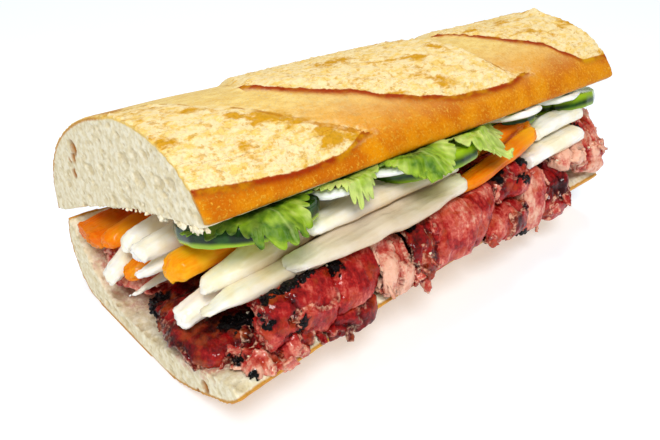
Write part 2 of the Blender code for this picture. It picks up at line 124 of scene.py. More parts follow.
def mappedGrid(uSteps, vSteps, shape, uClosed=False, vClosed=False, capped=False):
    # a flat grid whose points move to shape(u, v), sewn up where it closes on itself
    bm = bmesh.new()
    bmesh.ops.create_grid(bm, x_segments=uSteps, y_segments=vSteps, size=0.5)
    uLayer = bm.verts.layers.float.new("u")
    vLayer = bm.verts.layers.float.new("v")
    for vert in bm.verts:
        u, v = vert.co.x + 0.5, vert.co.y + 0.5
        vert[uLayer], vert[vLayer] = u, v
        vert.co = shape(u, v)
    if uClosed or vClosed:
        bmesh.ops.remove_doubles(bm, verts=[vert for vert in bm.verts if vert.is_boundary],
                                 dist=0.0005)
    if capped:
        bmesh.ops.holes_fill(bm, edges=[edge for edge in bm.edges if edge.is_boundary], sides=0)
    bmesh.ops.recalc_face_normals(bm, faces=bm.faces)
    return bm


def shapedBy(bm, kind, **settings):
    # the mesh after one modifier
    mesh = bpy.data.meshes.new("shape")
    bm.to_mesh(mesh)
    bm.free()
    obj = bpy.data.objects.new("shape", mesh)
    bpy.context.scene.collection.objects.link(obj)
    modifier = obj.modifiers.new(kind, kind)
    for key, value in settings.items():
        setattr(modifier, key, value)
    bpy.context.view_layer.update()
    depsgraph = bpy.context.evaluated_depsgraph_get()
    result = bpy.data.meshes.new_from_object(obj.evaluated_get(depsgraph))
    bm = bmesh.new()
    bm.from_mesh(result)
    bpy.data.objects.remove(obj, do_unlink=True)
    bpy.data.meshes.remove(mesh)
    bpy.data.meshes.remove(result)
    return bm


def evenMesh(bm, voxel, rounds=0):
    bm = shapedBy(bm, "REMESH", mode="VOXEL", voxel_size=voxel, adaptivity=0.0)
    soften(bm, rounds)
    return bm


def soften(bm, rounds, factor=0.5):
    for _ in range(rounds):
        bmesh.ops.smooth_vert(bm, verts=bm.verts, factor=factor, use_axis_x=True, use_axis_y=True,
                              use_axis_z=True)


def cadShape(node):
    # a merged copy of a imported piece, in the loaf's millimetres
    bm = bmesh.new()
    bm.from_mesh(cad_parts[node].data)
    bmesh.ops.remove_doubles(bm, verts=bm.verts, dist=0.00001)
    bmesh.ops.translate(bm, vec=-loafOrigin, verts=bm.verts)
    bmesh.ops.scale(bm, vec=(1 / mm, 1 / mm, 1 / mm), verts=bm.verts)
    return bm


def cadBox(node):
    low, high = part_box(node)
    return (low - loafOrigin) / mm, (high - loafOrigin) / mm


def pushed(bm, distance):
    # moves each point along its normal by distance(vert)
    bm.normal_update()
    moves = [(vert, vert.normal * distance(vert)) for vert in bm.verts]
    for vert, move in moves:
        vert.co += move


def attribute(bm, name):
    return bm.verts.layers.float.get(name) or bm.verts.layers.float.new(name)


def finishPiece(name, bm, material, slot, nodes=()):
    # puts a mesh that is in the loaf's millimetres in its place and parents it to the root body
    bmesh.ops.scale(bm, vec=(mm, mm, mm), verts=bm.verts)
    bmesh.ops.translate(bm, vec=loafOrigin, verts=bm.verts)
    mesh = bpy.data.meshes.new(name)
    for face in bm.faces:
        face.smooth = True
    bm.to_mesh(mesh)
    bm.free()
    mesh.materials.append(material)
    obj = bpy.data.objects.new(name, mesh)
    bpy.context.scene.collection.objects.link(obj)
    if nodes:
        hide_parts(*nodes)
    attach(obj, "root")
    return obj


def joined(parts):
    # one mesh of several, which are freed
    whole = bmesh.new()
    for part in parts:
        mesh = bpy.data.meshes.new("part")
        part.to_mesh(mesh)
        part.free()
        whole.from_mesh(mesh)
        bpy.data.meshes.remove(mesh)
    return whole


# Materials --------------------------------------------------------------------------------------

def tint(red, green, blue):
    # linear colour of one given in steps of 0 to 255
    def linear(value):
        value /= 255.0
        return value / 12.92 if value <= 0.04045 else ((value + 0.055) / 1.055) ** 2.4
    return (linear(red), linear(green), linear(blue), 1.0)


def put(tree, kind, inputs=None, **properties):
    node = tree.nodes.new("ShaderNode" + kind)
    for key, value in properties.items():
        setattr(node, key, value)
    for key, value in (inputs or {}).items():
        if isinstance(value, bpy.types.NodeSocket):
            tree.links.new(value, node.inputs[key])
        else:
            node.inputs[key].default_value = value
    return node


def calc(tree, operation, first, second=0.0, third=0.0):
    return put(tree, "Math", {0: first, 1: second, 2: third}, operation=operation).outputs[0]


def mapped(tree, value, low, high, lowTo=0.0, highTo=1.0):
    return put(tree, "MapRange", {"Value": value, "From Min": low, "From Max": high,
                                  "To Min": lowTo, "To Max": highTo},
               interpolation_type="SMOOTHSTEP").outputs["Result"]


def blended(tree, factor, first, second, mode="MIX"):
    return put(tree, "Mix", {0: factor, 6: first, 7: second}, data_type="RGBA",
               blend_type=mode).outputs[2]


def ramp(tree, factor, stops):
    node = put(tree, "ValToRGB", {"Fac": factor})
    elements = node.color_ramp.elements
    while len(elements) < len(stops):
        elements.new(0.5)
    for element, (position, colour) in zip(elements, stops):
        element.position = position
        element.color = colour
    return node.outputs["Color"]


def makeMottleGroup():
    # patches of two colours at a given size, used on everything
    group = bpy.data.node_groups.new("mottle", "ShaderNodeTree")
    face = group.interface
    face.new_socket("Vector", in_out="INPUT", socket_type="NodeSocketVector")
    for name, value in (("Size", 0.004), ("Detail", 4.0), ("Low", 0.4), ("High", 0.6),
                        ("Rough", 0.55)):
        socket = face.new_socket(name, in_out="INPUT", socket_type="NodeSocketFloat")
        socket.default_value = value
    face.new_socket("First", in_out="INPUT", socket_type="NodeSocketColor")
    face.new_socket("Second", in_out="INPUT", socket_type="NodeSocketColor")
    face.new_socket("Colour", in_out="OUTPUT", socket_type="NodeSocketColor")
    face.new_socket("Mask", in_out="OUTPUT", socket_type="NodeSocketFloat")
    inside = group.nodes.new("NodeGroupInput").outputs
    outside = group.nodes.new("NodeGroupOutput").inputs
    scale = calc(group, "DIVIDE", 1.0, inside["Size"])
    patches = put(group, "TexNoise", {"Vector": inside["Vector"], "Scale": scale,
                                      "Detail": inside["Detail"], "Roughness": inside["Rough"]})
    mask = put(group, "MapRange", {"Value": patches.outputs["Fac"], "From Min": inside["Low"],
                                   "From Max": inside["High"]},
               interpolation_type="SMOOTHSTEP").outputs["Result"]
    group.links.new(blended(group, mask, inside["First"], inside["Second"]), outside["Colour"])
    group.links.new(mask, outside["Mask"])
    return group


def makeGrainGroup():
    # height of a surface with two sizes of fine relief
    group = bpy.data.node_groups.new("fineGrain", "ShaderNodeTree")
    face = group.interface
    face.new_socket("Vector", in_out="INPUT", socket_type="NodeSocketVector")
    for name, value in (("Size", 0.001), ("Coarse", 0.6), ("Fine", 0.4)):
        socket = face.new_socket(name, in_out="INPUT", socket_type="NodeSocketFloat")
        socket.default_value = value
    face.new_socket("Height", in_out="OUTPUT", socket_type="NodeSocketFloat")
    inside = group.nodes.new("NodeGroupInput").outputs
    outside = group.nodes.new("NodeGroupOutput").inputs
    scale = calc(group, "DIVIDE", 1.0, inside["Size"])
    coarse = put(group, "TexNoise", {"Vector": inside["Vector"], "Scale": scale, "Detail": 3.0})
    fine = put(group, "TexNoise", {"Vector": inside["Vector"],
                                   "Scale": calc(group, "MULTIPLY", scale, 3.7), "Detail": 2.0})
    height = calc(group, "MULTIPLY_ADD", coarse.outputs["Fac"], inside["Coarse"],
                  calc(group, "MULTIPLY", fine.outputs["Fac"], inside["Fine"]))
    group.links.new(height, outside["Height"])
    return group


mottleGroup = makeMottleGroup()
grainGroup = makeGrainGroup()


def newMaterial(name, **settings):
    # a material with its shader's plain values set, and the tree, shader and place to build on
    material = bpy.data.materials.new(name)
    material.use_nodes = True
    tree = material.node_tree
    shader = tree.nodes["Principled BSDF"]
    for key, value in settings.items():
        shader.inputs[key].default_value = value
    place = put(tree, "TexCoord").outputs["Object"]
    return material, tree, shader, place


def mottle(tree, place, size, first, second, low=0.4, high=0.6, detail=4.0, rough=0.55):
    node = put(tree, "Group", node_tree=mottleGroup)
    for key, value in (("Size", size), ("Detail", detail), ("Low", low), ("High", high),
                       ("Rough", rough), ("Vector", place), ("First", first),
                       ("Second", second)):
        if isinstance(value, bpy.types.NodeSocket):
            tree.links.new(value, node.inputs[key])
        else:
            node.inputs[key].default_value = value
    return node.outputs["Colour"], node.outputs["Mask"]


def grain(tree, place, size, coarse=0.6, fine=0.4):
    node = put(tree, "Group", node_tree=grainGroup)
    tree.links.new(place, node.inputs["Vector"])
    for key, value in (("Size", size), ("Coarse", coarse), ("Fine", fine)):
        node.inputs[key].default_value = value
    return node.outputs["Height"]


def value(tree, name):
    return put(tree, "Attribute", attribute_name=name).outputs["Fac"]


def bumped(tree, shader, height, strength, distance):
    bump = put(tree, "Bump", {"Height": height, "Strength": strength, "Distance": distance})
    tree.links.new(bump.outputs["Normal"], shader.inputs["Normal"])


breadColours = {
    "crumb": tint(236, 221, 182), "crumbShade": tint(186, 160, 104),
    "crumbLight": tint(250, 240, 212),
    "golden": tint(226, 142, 0), "goldenDeep": tint(200, 104, 0), "speckle": tint(248, 190, 62),
    # the pebble brown colours both the crust's dark pebbling and the painted shade below the ears
    "pebbleAndShadeBrown": tint(184, 92, 0), "upper": tint(250, 222, 140), "upperPink": tint(236, 196, 108),
    "ear": tint(156, 46, 0), "flour": tint(248, 226, 172), "flourWarm": tint(242, 204, 112),
    "toasted": tint(210, 150, 0), "rind": tint(206, 144, 50), "hole": tint(168, 108, 40),
    "seam": tint(192, 124, 4), "stain": tint(206, 132, 112),
}


def makeBreadMaterial(name, paleCrust):
    shades = breadColours
    material, tree, shader, place = newMaterial(name, **{
        "Roughness": 0.6, "IOR": 1.42, "Specular IOR Level": 0.10})
    depth, pad = value(tree, "crustDepth"), value(tree, "padInside")
    ear, toast, upper = value(tree, "earLine"), value(tree, "toast"), value(tree, "upper")
    wobble = put(tree, "TexNoise", {"Vector": place, "Scale": 900.0, "Detail": 5.0,
                                    "Roughness": 0.6}).outputs["Fac"]
    offset = calc(tree, "MULTIPLY_ADD", wobble, 3.0, -1.5)
    drawn = put(tree, "VectorMath", {0: place, 1: (0.55, 1.0, 1.0)},
                operation="MULTIPLY").outputs["Vector"]

    # smooth crust: deep gold low down, paler towards the top, with fine light blisters
    gold, _ = mottle(tree, place, 0.010, shades["goldenDeep"], shades["golden"], 0.35, 0.62)
    high, _ = mottle(tree, drawn, 0.0022, shades["upper"], shades["upperPink"], 0.38, 0.64, 8.0,
                     0.72)
    crust = blended(tree, upper, gold, high)
    pebbles = put(tree, "TexNoise", {"Vector": place, "Scale": 1600.0, "Detail": 5.0,
                                     "Roughness": 0.72}).outputs["Fac"]
    blister = calc(tree, "MULTIPLY", mapped(tree, pebbles, 0.53, 0.62),
                   mapped(tree, wobble, 0.36, 0.58, 0.35, 1.0))
    light = blended(tree, upper, shades["speckle"], shades["flour"])
    spots = blended(tree, upper, shades["pebbleAndShadeBrown"], shades["toasted"])
    crust = blended(tree, mapped(tree, pebbles, 0.48, 0.34, 0.0, 0.42), crust, spots)
    crust = blended(tree, calc(tree, "MULTIPLY", blister, 0.72), crust, light)
    if paleCrust:
        crust = blended(tree, 0.22, crust, shades["upper"])

    # floured pads: cream, with streaks and toasted patches
    flour, _ = mottle(tree, drawn, 0.0022, shades["flour"], shades["flourWarm"], 0.45, 0.60, 9.0,
                      0.8)
    _, patches = mottle(tree, drawn, 0.0078, shades["flour"], shades["toasted"], 0.53, 0.62, 9.0,
                        0.66)
    _, flecks = mottle(tree, place, 0.0021, shades["flour"], shades["toasted"], 0.55, 0.63, 6.0,
                       0.7)
    marks = calc(tree, "MAXIMUM", calc(tree, "MULTIPLY", patches, 0.95),
                 calc(tree, "MULTIPLY", flecks, 0.60))
    flour = blended(tree, marks, flour, shades["toasted"])
    backLine = put(tree, "Math", {0: value(tree, "backLine")}, operation="ABSOLUTE").outputs[0]
    backLine = mapped(tree, calc(tree, "ADD", backLine, calc(tree, "MULTIPLY", offset, 0.8)),
                      1.3, 0.5)
    padMask = mapped(tree, calc(tree, "ADD", pad, offset), -0.9, 1.1)
    crust = blended(tree, padMask, crust, flour)
    strong = put(tree, "TexNoise", {"Vector": drawn, "Scale": 190.0, "Detail": 3.0}).outputs["Fac"]
    line = calc(tree, "ADD", ear, calc(tree, "MULTIPLY", offset, 0.35))
    earMask = calc(tree, "MULTIPLY", mapped(tree, line, -3.0, -0.7), mapped(tree, line, 0.3, -0.3))
    baked = blended(tree, mapped(tree, strong, 0.30, 0.50), shades["toasted"], shades["ear"])
    # painted shade: a darker brown band just below each ear, where the ear's overhang throws its
    # shadow
    under = calc(tree, "MULTIPLY", mapped(tree, line, -4.6, -0.8, 0.0, 0.70),
                 mapped(tree, line, 0.3, -0.3))
    crust = blended(tree, under, crust, shades["pebbleAndShadeBrown"])
    crust = blended(tree, calc(tree, "MULTIPLY", earMask, 0.96), crust, baked)
    backLine = calc(tree, "MULTIPLY", backLine, mapped(tree, strong, 0.40, 0.50, 0.0, 0.85))
    crust = blended(tree, backLine, crust, shades["seam"])

    # crumb, with a thin rind between it and the crust
    crumb, _ = mottle(tree, place, 0.0016, shades["crumb"], shades["crumbLight"], 0.40, 0.62)
    # painted shade in the pores: the crumb darkens towards the crumbShade colour at the middle of each
    # pore
    crumb = blended(tree, mapped(tree, value(tree, "pore"), 0.10, 0.9, 0.0, 0.42), crumb,
                    shades["crumbShade"])
    rind = blended(tree, padMask, shades["rind"], shades["flourWarm"])
    inner = calc(tree, "ADD", depth, calc(tree, "MULTIPLY", offset, 0.25))
    shown = blended(tree, mapped(tree, inner, 0.15, 0.5), crust, rind)
    shown = blended(tree, mapped(tree, inner, 0.6, 1.2), shown, crumb)
    # painted shade: the big holes at the cut ends are coloured darker brown inside
    shown = blended(tree, toast, shown, shades["hole"])
    soaked = calc(tree, "MULTIPLY", value(tree, "stain"), mapped(tree, wobble, 0.36, 0.60, 0.1, 0.9))
    shown = blended(tree, soaked, shown, shades["stain"])
    tree.links.new(shown, shader.inputs["Base Color"])
    crumbMask = mapped(tree, inner, 0.6, 1.2)
    dull = calc(tree, "MAXIMUM", crumbMask, padMask)
    tree.links.new(mapped(tree, dull, 0.0, 1.0, 0.44, 0.88), shader.inputs["Roughness"])
    relief = calc(tree, "ADD", grain(tree, place, 0.0008, 0.5, 0.5),
                  calc(tree, "MULTIPLY", blister, 0.45))
    bumped(tree, shader, relief, 0.6, 0.0005)
    return material


porkColours = {
    "dark": tint(50, 0, 2), "deep": tint(124, 2, 6), "red": tint(174, 24, 22),
    "pink": tint(212, 94, 78), "pale": tint(244, 188, 160), "fat": tint(250, 200, 166),
    "amber": tint(196, 84, 28),
    "char": tint(6, 3, 5),
}


def makePorkMaterial():
    shades = porkColours
    material, tree, shader, place = newMaterial("glazedPork", **{
        "Roughness": 0.34, "IOR": 1.42, "Specular IOR Level": 0.12, "Coat Weight": 0.40,
        "Coat Roughness": 0.07, "Subsurface Weight": 0.06,
        "Subsurface Radius": (0.004, 0.0015, 0.001), "Subsurface Scale": 0.3})
    fibreSpace = put(tree, "Attribute", attribute_name="fibre").outputs["Vector"]
    fibres = put(tree, "TexNoise", {"Vector": fibreSpace, "Scale": 1.0, "Detail": 5.0,
                                    "Roughness": 0.6}).outputs["Fac"]
    _, patches = mottle(tree, place, 0.0055, shades["deep"], shades["pink"], 0.3, 0.7, 5.0)
    tone = calc(tree, "ADD", value(tree, "tone"),
                calc(tree, "MULTIPLY_ADD", patches, 0.34, -0.17))
    tone = calc(tree, "ADD", tone, calc(tree, "MULTIPLY_ADD", fibres, 0.7, -0.35))
    speck = put(tree, "TexNoise", {"Vector": place, "Scale": 1100.0, "Detail": 5.0,
                                   "Roughness": 0.65}).outputs["Fac"]
    tone = calc(tree, "ADD", tone, calc(tree, "MULTIPLY_ADD", speck, 0.7, -0.37))
    flesh = ramp(tree, tone, ((0.0, shades["dark"]), (0.28, shades["deep"]),
                              (0.5, shades["red"]), (0.72, shades["pink"]),
                              (1.0, shades["pale"])))
    wobble = put(tree, "TexNoise", {"Vector": place, "Scale": 700.0, "Detail": 4.0}).outputs["Fac"]
    rim = calc(tree, "ADD", value(tree, "rim"), calc(tree, "MULTIPLY_ADD", wobble, 3.2, -1.6))
    rimMask = calc(tree, "MULTIPLY", mapped(tree, rim, 0.9, 0.0), value(tree, "paleRim"))
    rimMask = calc(tree, "MULTIPLY", rimMask, mapped(tree, speck, 0.42, 0.6, 0.1, 0.9))
    flesh = blended(tree, rimMask, flesh, shades["fat"])
    _, glaze = mottle(tree, place, 0.0042, shades["red"], shades["amber"], 0.50, 0.66, 5.0)
    flesh = blended(tree, calc(tree, "MULTIPLY", glaze, 0.40), flesh, shades["amber"])
    charred = calc(tree, "ADD", value(tree, "char"), calc(tree, "MULTIPLY_ADD", wobble, 1.2, -0.6))
    charMask = mapped(tree, charred, 0.42, 0.66)
    flesh = blended(tree, mapped(tree, charred, 0.1, 0.5, 0.0, 0.55), flesh, shades["dark"])
    flesh = blended(tree, charMask, flesh, shades["char"])
    tree.links.new(flesh, shader.inputs["Base Color"])
    tree.links.new(mapped(tree, wobble, 0.3, 0.7, 0.26, 0.48), shader.inputs["Roughness"])
    tree.links.new(calc(tree, "MULTIPLY_ADD", charMask, -0.30, 0.40), shader.inputs["Coat Weight"])
    bead = put(tree, "TexVoronoi", {"Vector": place, "Scale": 900.0}).outputs["Distance"]
    height = calc(tree, "ADD", calc(tree, "MULTIPLY", fibres, 0.5),
                  grain(tree, place, 0.0007, 0.5, 0.4))
    height = calc(tree, "SUBTRACT", height, calc(tree, "MULTIPLY", bead, charMask))
    bumped(tree, shader, height, 0.7, 0.0006)
    return material


def makeBatonMaterial(name, core, edge, dark, scatter, streak, gloss):
    material, tree, shader, place = newMaterial(name, **{
        "Roughness": 0.28, "IOR": 1.38, "Specular IOR Level": gloss, "Subsurface Weight": 0.3,
        "Subsurface Radius": scatter, "Subsurface Scale": 1.0, "Coat Weight": gloss * 0.8,
        "Coat Roughness": 0.12})
    fibreSpace = put(tree, "Attribute", attribute_name="fibre").outputs["Vector"]
    streaks = put(tree, "TexNoise", {"Vector": fibreSpace, "Scale": 1.0, "Detail": 3.0}).outputs["Fac"]
    body, _ = mottle(tree, place, 0.006, core, edge, 0.35, 0.68)
    body = blended(tree, mapped(tree, streaks, 0.42, 0.72, 0.0, streak), body, edge)
    # painted shade, from the batons' shade attribute
    body = blended(tree, value(tree, "shade"), body, dark)
    tree.links.new(body, shader.inputs["Base Color"])
    tree.links.new(mapped(tree, streaks, 0.3, 0.7, 0.20, 0.38), shader.inputs["Roughness"])
    height = calc(tree, "ADD", calc(tree, "MULTIPLY", streaks, 0.7),
                  grain(tree, place, 0.0016, 0.3, 0.12))
    bumped(tree, shader, height, 0.35, 0.0003)
    return material


def makeCucumberMaterial():
    material, tree, shader, place = newMaterial("freshCucumber", **{
        "Roughness": 0.22, "IOR": 1.38, "Subsurface Weight": 0.10,
        "Subsurface Radius": (0.0015, 0.003, 0.0008), "Subsurface Scale": 1.0,
        "Specular IOR Level": 0.2, "Coat Weight": 0.35, "Coat Roughness": 0.05})
    reach = value(tree, "reach")           # 0 in the middle, 1 at the skin
    wobble = put(tree, "TexNoise", {"Vector": place, "Scale": 420.0, "Detail": 3.0}).outputs["Fac"]
    across = calc(tree, "ADD", reach, calc(tree, "MULTIPLY_ADD", wobble, 0.10, -0.05))
    flesh = ramp(tree, across, ((0.0, tint(206, 218, 128)), (0.42, tint(176, 204, 86)),
                                (0.55, tint(214, 226, 146)), (0.80, tint(186, 208, 88)),
                                (0.93, tint(150, 184, 24))))
    skinTone, _ = mottle(tree, place, 0.004, tint(6, 34, 2), tint(30, 76, 6), 0.35, 0.65)
    flesh = blended(tree, value(tree, "skin"), flesh, skinTone)
    tree.links.new(flesh, shader.inputs["Base Color"])
    bumped(tree, shader, grain(tree, place, 0.0011, 0.5, 0.3), 0.25, 0.0003)
    return material


def makeOnionMaterial():
    material, tree, shader, place = newMaterial("whiteOnion", **{
        "Roughness": 0.20, "IOR": 1.38, "Subsurface Weight": 0.4,
        "Subsurface Radius": (0.002, 0.002, 0.0016), "Subsurface Scale": 1.0,
        "Coat Weight": 0.3, "Coat Roughness": 0.08})
    fibreSpace = put(tree, "Attribute", attribute_name="fibre").outputs["Vector"]
    lines = put(tree, "TexNoise", {"Vector": fibreSpace, "Scale": 1.0, "Detail": 3.0}).outputs["Fac"]
    layers = blended(tree, mapped(tree, lines, 0.35, 0.70), tint(250, 251, 246), tint(232, 238, 220))
    tree.links.new(layers, shader.inputs["Base Color"])
    bumped(tree, shader, lines, 0.3, 0.0003)
    return material


def makeLeafMaterial():
    material, tree, shader, place = newMaterial("cilantroLeaf", **{
        "Roughness": 0.42, "IOR": 1.40, "Specular IOR Level": 0.25, "Subsurface Weight": 0.15,
        "Subsurface Radius": (0.0004, 0.0010, 0.0002), "Subsurface Scale": 1.0})
    tone, vein = value(tree, "tone"), value(tree, "vein")
    green = ramp(tree, tone, ((0.0, tint(14, 44, 2)), (0.3, tint(68, 110, 8)),
                              (0.6, tint(142, 174, 28)), (1.0, tint(210, 223, 130))))
    patchy, _ = mottle(tree, place, 0.0028, tint(64, 106, 8), tint(176, 202, 74), 0.35, 0.65)
    green = blended(tree, 0.30, green, patchy)
    green = blended(tree, calc(tree, "MULTIPLY", vein, 0.42), green, tint(204, 220, 134))
    tree.links.new(green, shader.inputs["Base Color"])
    height = calc(tree, "ADD", calc(tree, "MULTIPLY", vein, -0.6),
                  grain(tree, place, 0.0014, 0.7, 0.3))
    bumped(tree, shader, height, 0.5, 0.0004)
    return material


breadTopMaterial = makeBreadMaterial("bakedBreadTop", False)
breadBottomMaterial = makeBreadMaterial("bakedBreadBottom", True)
porkMaterial = makePorkMaterial()
daikonMaterial = makeBatonMaterial("pickledDaikon", tint(255, 252, 244), tint(250, 238, 206),
                                   tint(200, 150, 70), (0.003, 0.0028, 0.002), 0.45, 0.35)
slabMaterial = makeBatonMaterial("daikonSlab", tint(238, 230, 214), tint(228, 216, 192),
                                 tint(196, 160, 110), (0.003, 0.0028, 0.002), 0.45, 0.35)
carrotMaterial = makeBatonMaterial("pickledCarrot", tint(255, 144, 2), tint(255, 184, 30),
                                   tint(204, 40, 0), (0.003, 0.0012, 0.0004), 0.6, 0.14)
cucumberMaterial = makeCucumberMaterial()
onionMaterial = makeOnionMaterial()
leafMaterial = makeLeafMaterial()
print("materials made")


# Bread ------------------------------------------------------------------------------------------

# Each score: its ear, the lifted front lip, and the back edge of the raised pad, as the distance
# along the loaf and degrees round the crust from the hinge.
scores = (
    {"ear": ((-20, 160), (0, 161), (12, 165), (24, 168), (36, 167), (46, 163)),
     "back": ((-20, 96), (8, 100), (20, 117), (29, 140), (36, 151), (46, 163)), "rise": 0.7},
    {"ear": ((30, 114), (36, 123), (49, 134), (57, 144), (66, 151), (76, 157), (90, 159), (106, 159)),
     "back": ((30, 108), (38, 74), (56, 58), (82, 60), (90, 102), (94, 139), (98, 152), (106, 159)),
     "rise": 1.3},
    {"ear": ((98, 104), (106, 122), (112, 131), (119, 139), (123, 150), (129, 160), (160, 163)),
     "back": ((98, 99), (106, 70), (118, 60), (160, 58)), "rise": 0.9},
)
bread = {
    "crustPerDegree": 0.62,     # millimetres round the crust for each degree
    "softBack": 0.28, "earFade": 12.0,
    "backWander": 12.0,         # degrees that a pad's back edge wanders
    "roundCorner": 2.5,
    "earRise": 0.9, "earWidth": 1.1,
    "grooveDepth": 0.55, "grooveWidth": 0.9,
    "padSlope": 5.5,            # millimetres over which a pad rises
    "unevenness": 0.35,         # of the whole crust
    "padRoughness": 0.34,
    "pores": ((4.4, 0.30, 0.60), (2.4, 0.32, 0.42), (1.4, 0.34, 0.22)),  # cell, radius, depth
    "poreRim": 1.2,             # how far inside the crust they start
    "endZone": 1.1,             # thickness at each end that is made finer
    "spike": (138.0, 108.0, 1.9),  # where the third ear starts in a torn point, and its height
}
outsideShape = ((0.045, 20.8), (0.030, 14.0), (0.062, 6.0), (0.130, 1.0), (0.200, 0.0),
                (0.600, 0.0), (0.735, 1.6), (0.860, 5.7), (0.960, 9.6), (1.016, 13.4))
insideShape = ((0.985, 15.2), (0.880, 13.6), (0.760, 10.4), (0.560, 6.0), (0.400, 5.4),
               (0.280, 6.6), (0.175, 11.6), (0.095, 17.6))
lip = {"starts": 0.55, "lift": 1.4, "drawnIn": 3.6, "drawPower": 0.7,
       "nearSpread": 2.0, "farSpread": 0.4}
slope = math.radians(loaf["opening"])
splitAlong = Vector((-math.cos(slope), math.sin(slope)))
splitUp = Vector((splitAlong.y, -splitAlong.x))


def loafWidth(x):
    return lerp(loaf["nearWidth"], loaf["farWidth"], x / loaf["length"])


def hingePoint(x):
    return Vector((-loaf["hingeDrift"] * x / loaf["length"], loaf["hingeHeight"] + loaf["hingeGap"]))


def crustHeight(x):
    return lerp(loaf["nearCrust"], loaf["farCrust"], x / loaf["length"])


def scoreAt(x, angle):
    # millimetres inside the nearest pad (below 0 outside it) and above its ear, its rise, the
    # distance inside with a soft back edge, and millimetres from that back edge
    pad, ear, rise, softPad, seam = -30.0, -30.0, 0.0, -30.0, 30.0
    for score in scores:
        start, end = score["ear"][0][0], score["ear"][-1][0]
        earAngle, backAngle = curveThrough(score["ear"], x), curveThrough(score["back"], x)
        uneven = min(bread["backWander"], 0.5 * max(earAngle - backAngle, 0.0))
        backAngle += uneven * noise.noise(Vector((x * 0.075, start, 0.0)))
        front = (earAngle - angle) * bread["crustPerDegree"]
        back = (angle - backAngle) * bread["crustPerDegree"]
        inside = softLeast((front, back, x - start, end - x), bread["roundCorner"])
        if inside > pad:
            pad, rise = inside, score["rise"]
        softPad = max(softPad, softLeast((front * 1.6, back * bread["softBack"],
                                          (x - start) * 0.3, (end - x) * 0.4), 0.7) + 0.4)
        fade = smoothstep(0.0, bread["earFade"], min(x - start, end - x))
        if start < x < end and back > -1.0 and front < 8.0 and abs(front) < abs(ear):
            ear = front - 3.0 * (1.0 - fade)
        if start < x < end and front > 3.0 and abs(back) < abs(seam):
            seam = back + 6.0 * smoothstep(104.0, 90.0, angle)
    return pad, ear, rise, softPad, seam


def crustRelief(x, angle):
    pad, ear, rise, _, _ = scoreAt(x, angle)
    along = Vector((x * 0.055, angle * 0.03, 2.0))
    relief = rise * smoothstep(-2.0, bread["padSlope"], pad)
    relief += bread["earRise"] * bellCurve(ear + 0.4, bread["earWidth"])
    relief -= bread["grooveDepth"] * bellCurve(ear - 1.6, bread["grooveWidth"])
    spikeX, spikeAngle, spikeRise = bread["spike"]
    away = math.hypot(x - spikeX, (angle - spikeAngle) * bread["crustPerDegree"] * 0.5)
    relief += spikeRise * bellCurve(away, 1.5)
    return relief + bread["unevenness"] * noise.noise(along)


def topCrust(x, angle):
    turn = math.radians(angle)
    reach = loafWidth(x) * (0.5 - loaf["overhang"] * math.cos(turn))
    height = (crustHeight(x) + crustRelief(x, angle)) * math.sin(turn)
    y, z = hingePoint(x) + splitAlong * reach + splitUp * height
    return Vector((x, y, z))


def topSplit(x, share):
    hollow = loaf["splitHollow"] * math.sin(math.pi * share)
    y, z = hingePoint(x) + splitAlong * loafWidth(x) * share + splitUp * hollow
    return Vector((x, y, z))


def crustAngle(point):
    hinge = hingePoint(point.x)
    rel = Vector((point.y, point.z)) - hinge
    across = (0.5 - rel.dot(splitAlong) / loafWidth(point.x)) / loaf["overhang"]
    return math.degrees(math.atan2(rel.dot(splitUp) / crustHeight(point.x), across))


def bottomPoint(x, path, share):
    share, height = alongPath(path, share)
    front = smoothstep(lip["starts"], 1.0, share)
    drawnIn = lip["drawnIn"] * front * (max(x, 0.0) / loaf["length"]) ** lip["drawPower"]
    lift = lip["lift"] * math.sin(math.pi * min(max(x / loaf["length"], 0.0), 1.0)) * front
    spread = lerp(lip["nearSpread"], lip["farSpread"], x / loaf["length"]) * front ** 2
    lift += spread * 0.4
    return Vector((x, hingePoint(x).x - loafWidth(x) * share + drawnIn - spread,
                   max(height, 0.0) + lift))


outsidePath = roundedPath(outsideShape, 6)
insidePath = roundedPath(insideShape, 6)


def poreDepth(place):
    # how deep the open crumb's holes go at a place, as one number for each size summed
    depth, share = 0.0, 0.0
    for cell, radius, deepest in bread["pores"]:
        distances, centres = noise.voronoi(Vector((place.x, place.y * 0.55, place.z)) / cell)
        grown = radius * 1.35 * abs(noise.cell(centres[0] * 3.1))
        if distances[0] < grown:
            inside = math.sqrt(1.0 - (distances[0] / grown) ** 2)
            depth += deepest * inside
            share = max(share, inside)
    return depth, share


def finerEnds(bm):
    # halves the mesh's spacing on the two cut ends
    nearEnd, farEnd = bread["endZone"], loaf["length"] - bread["endZone"]
    ends = [edge for edge in bm.edges if all(vert.co.x < nearEnd for vert in edge.verts)
            or all(vert.co.x > farEnd for vert in edge.verts)]
    bmesh.ops.subdivide_edges(bm, edges=ends, cuts=1, use_grid_fill=True)


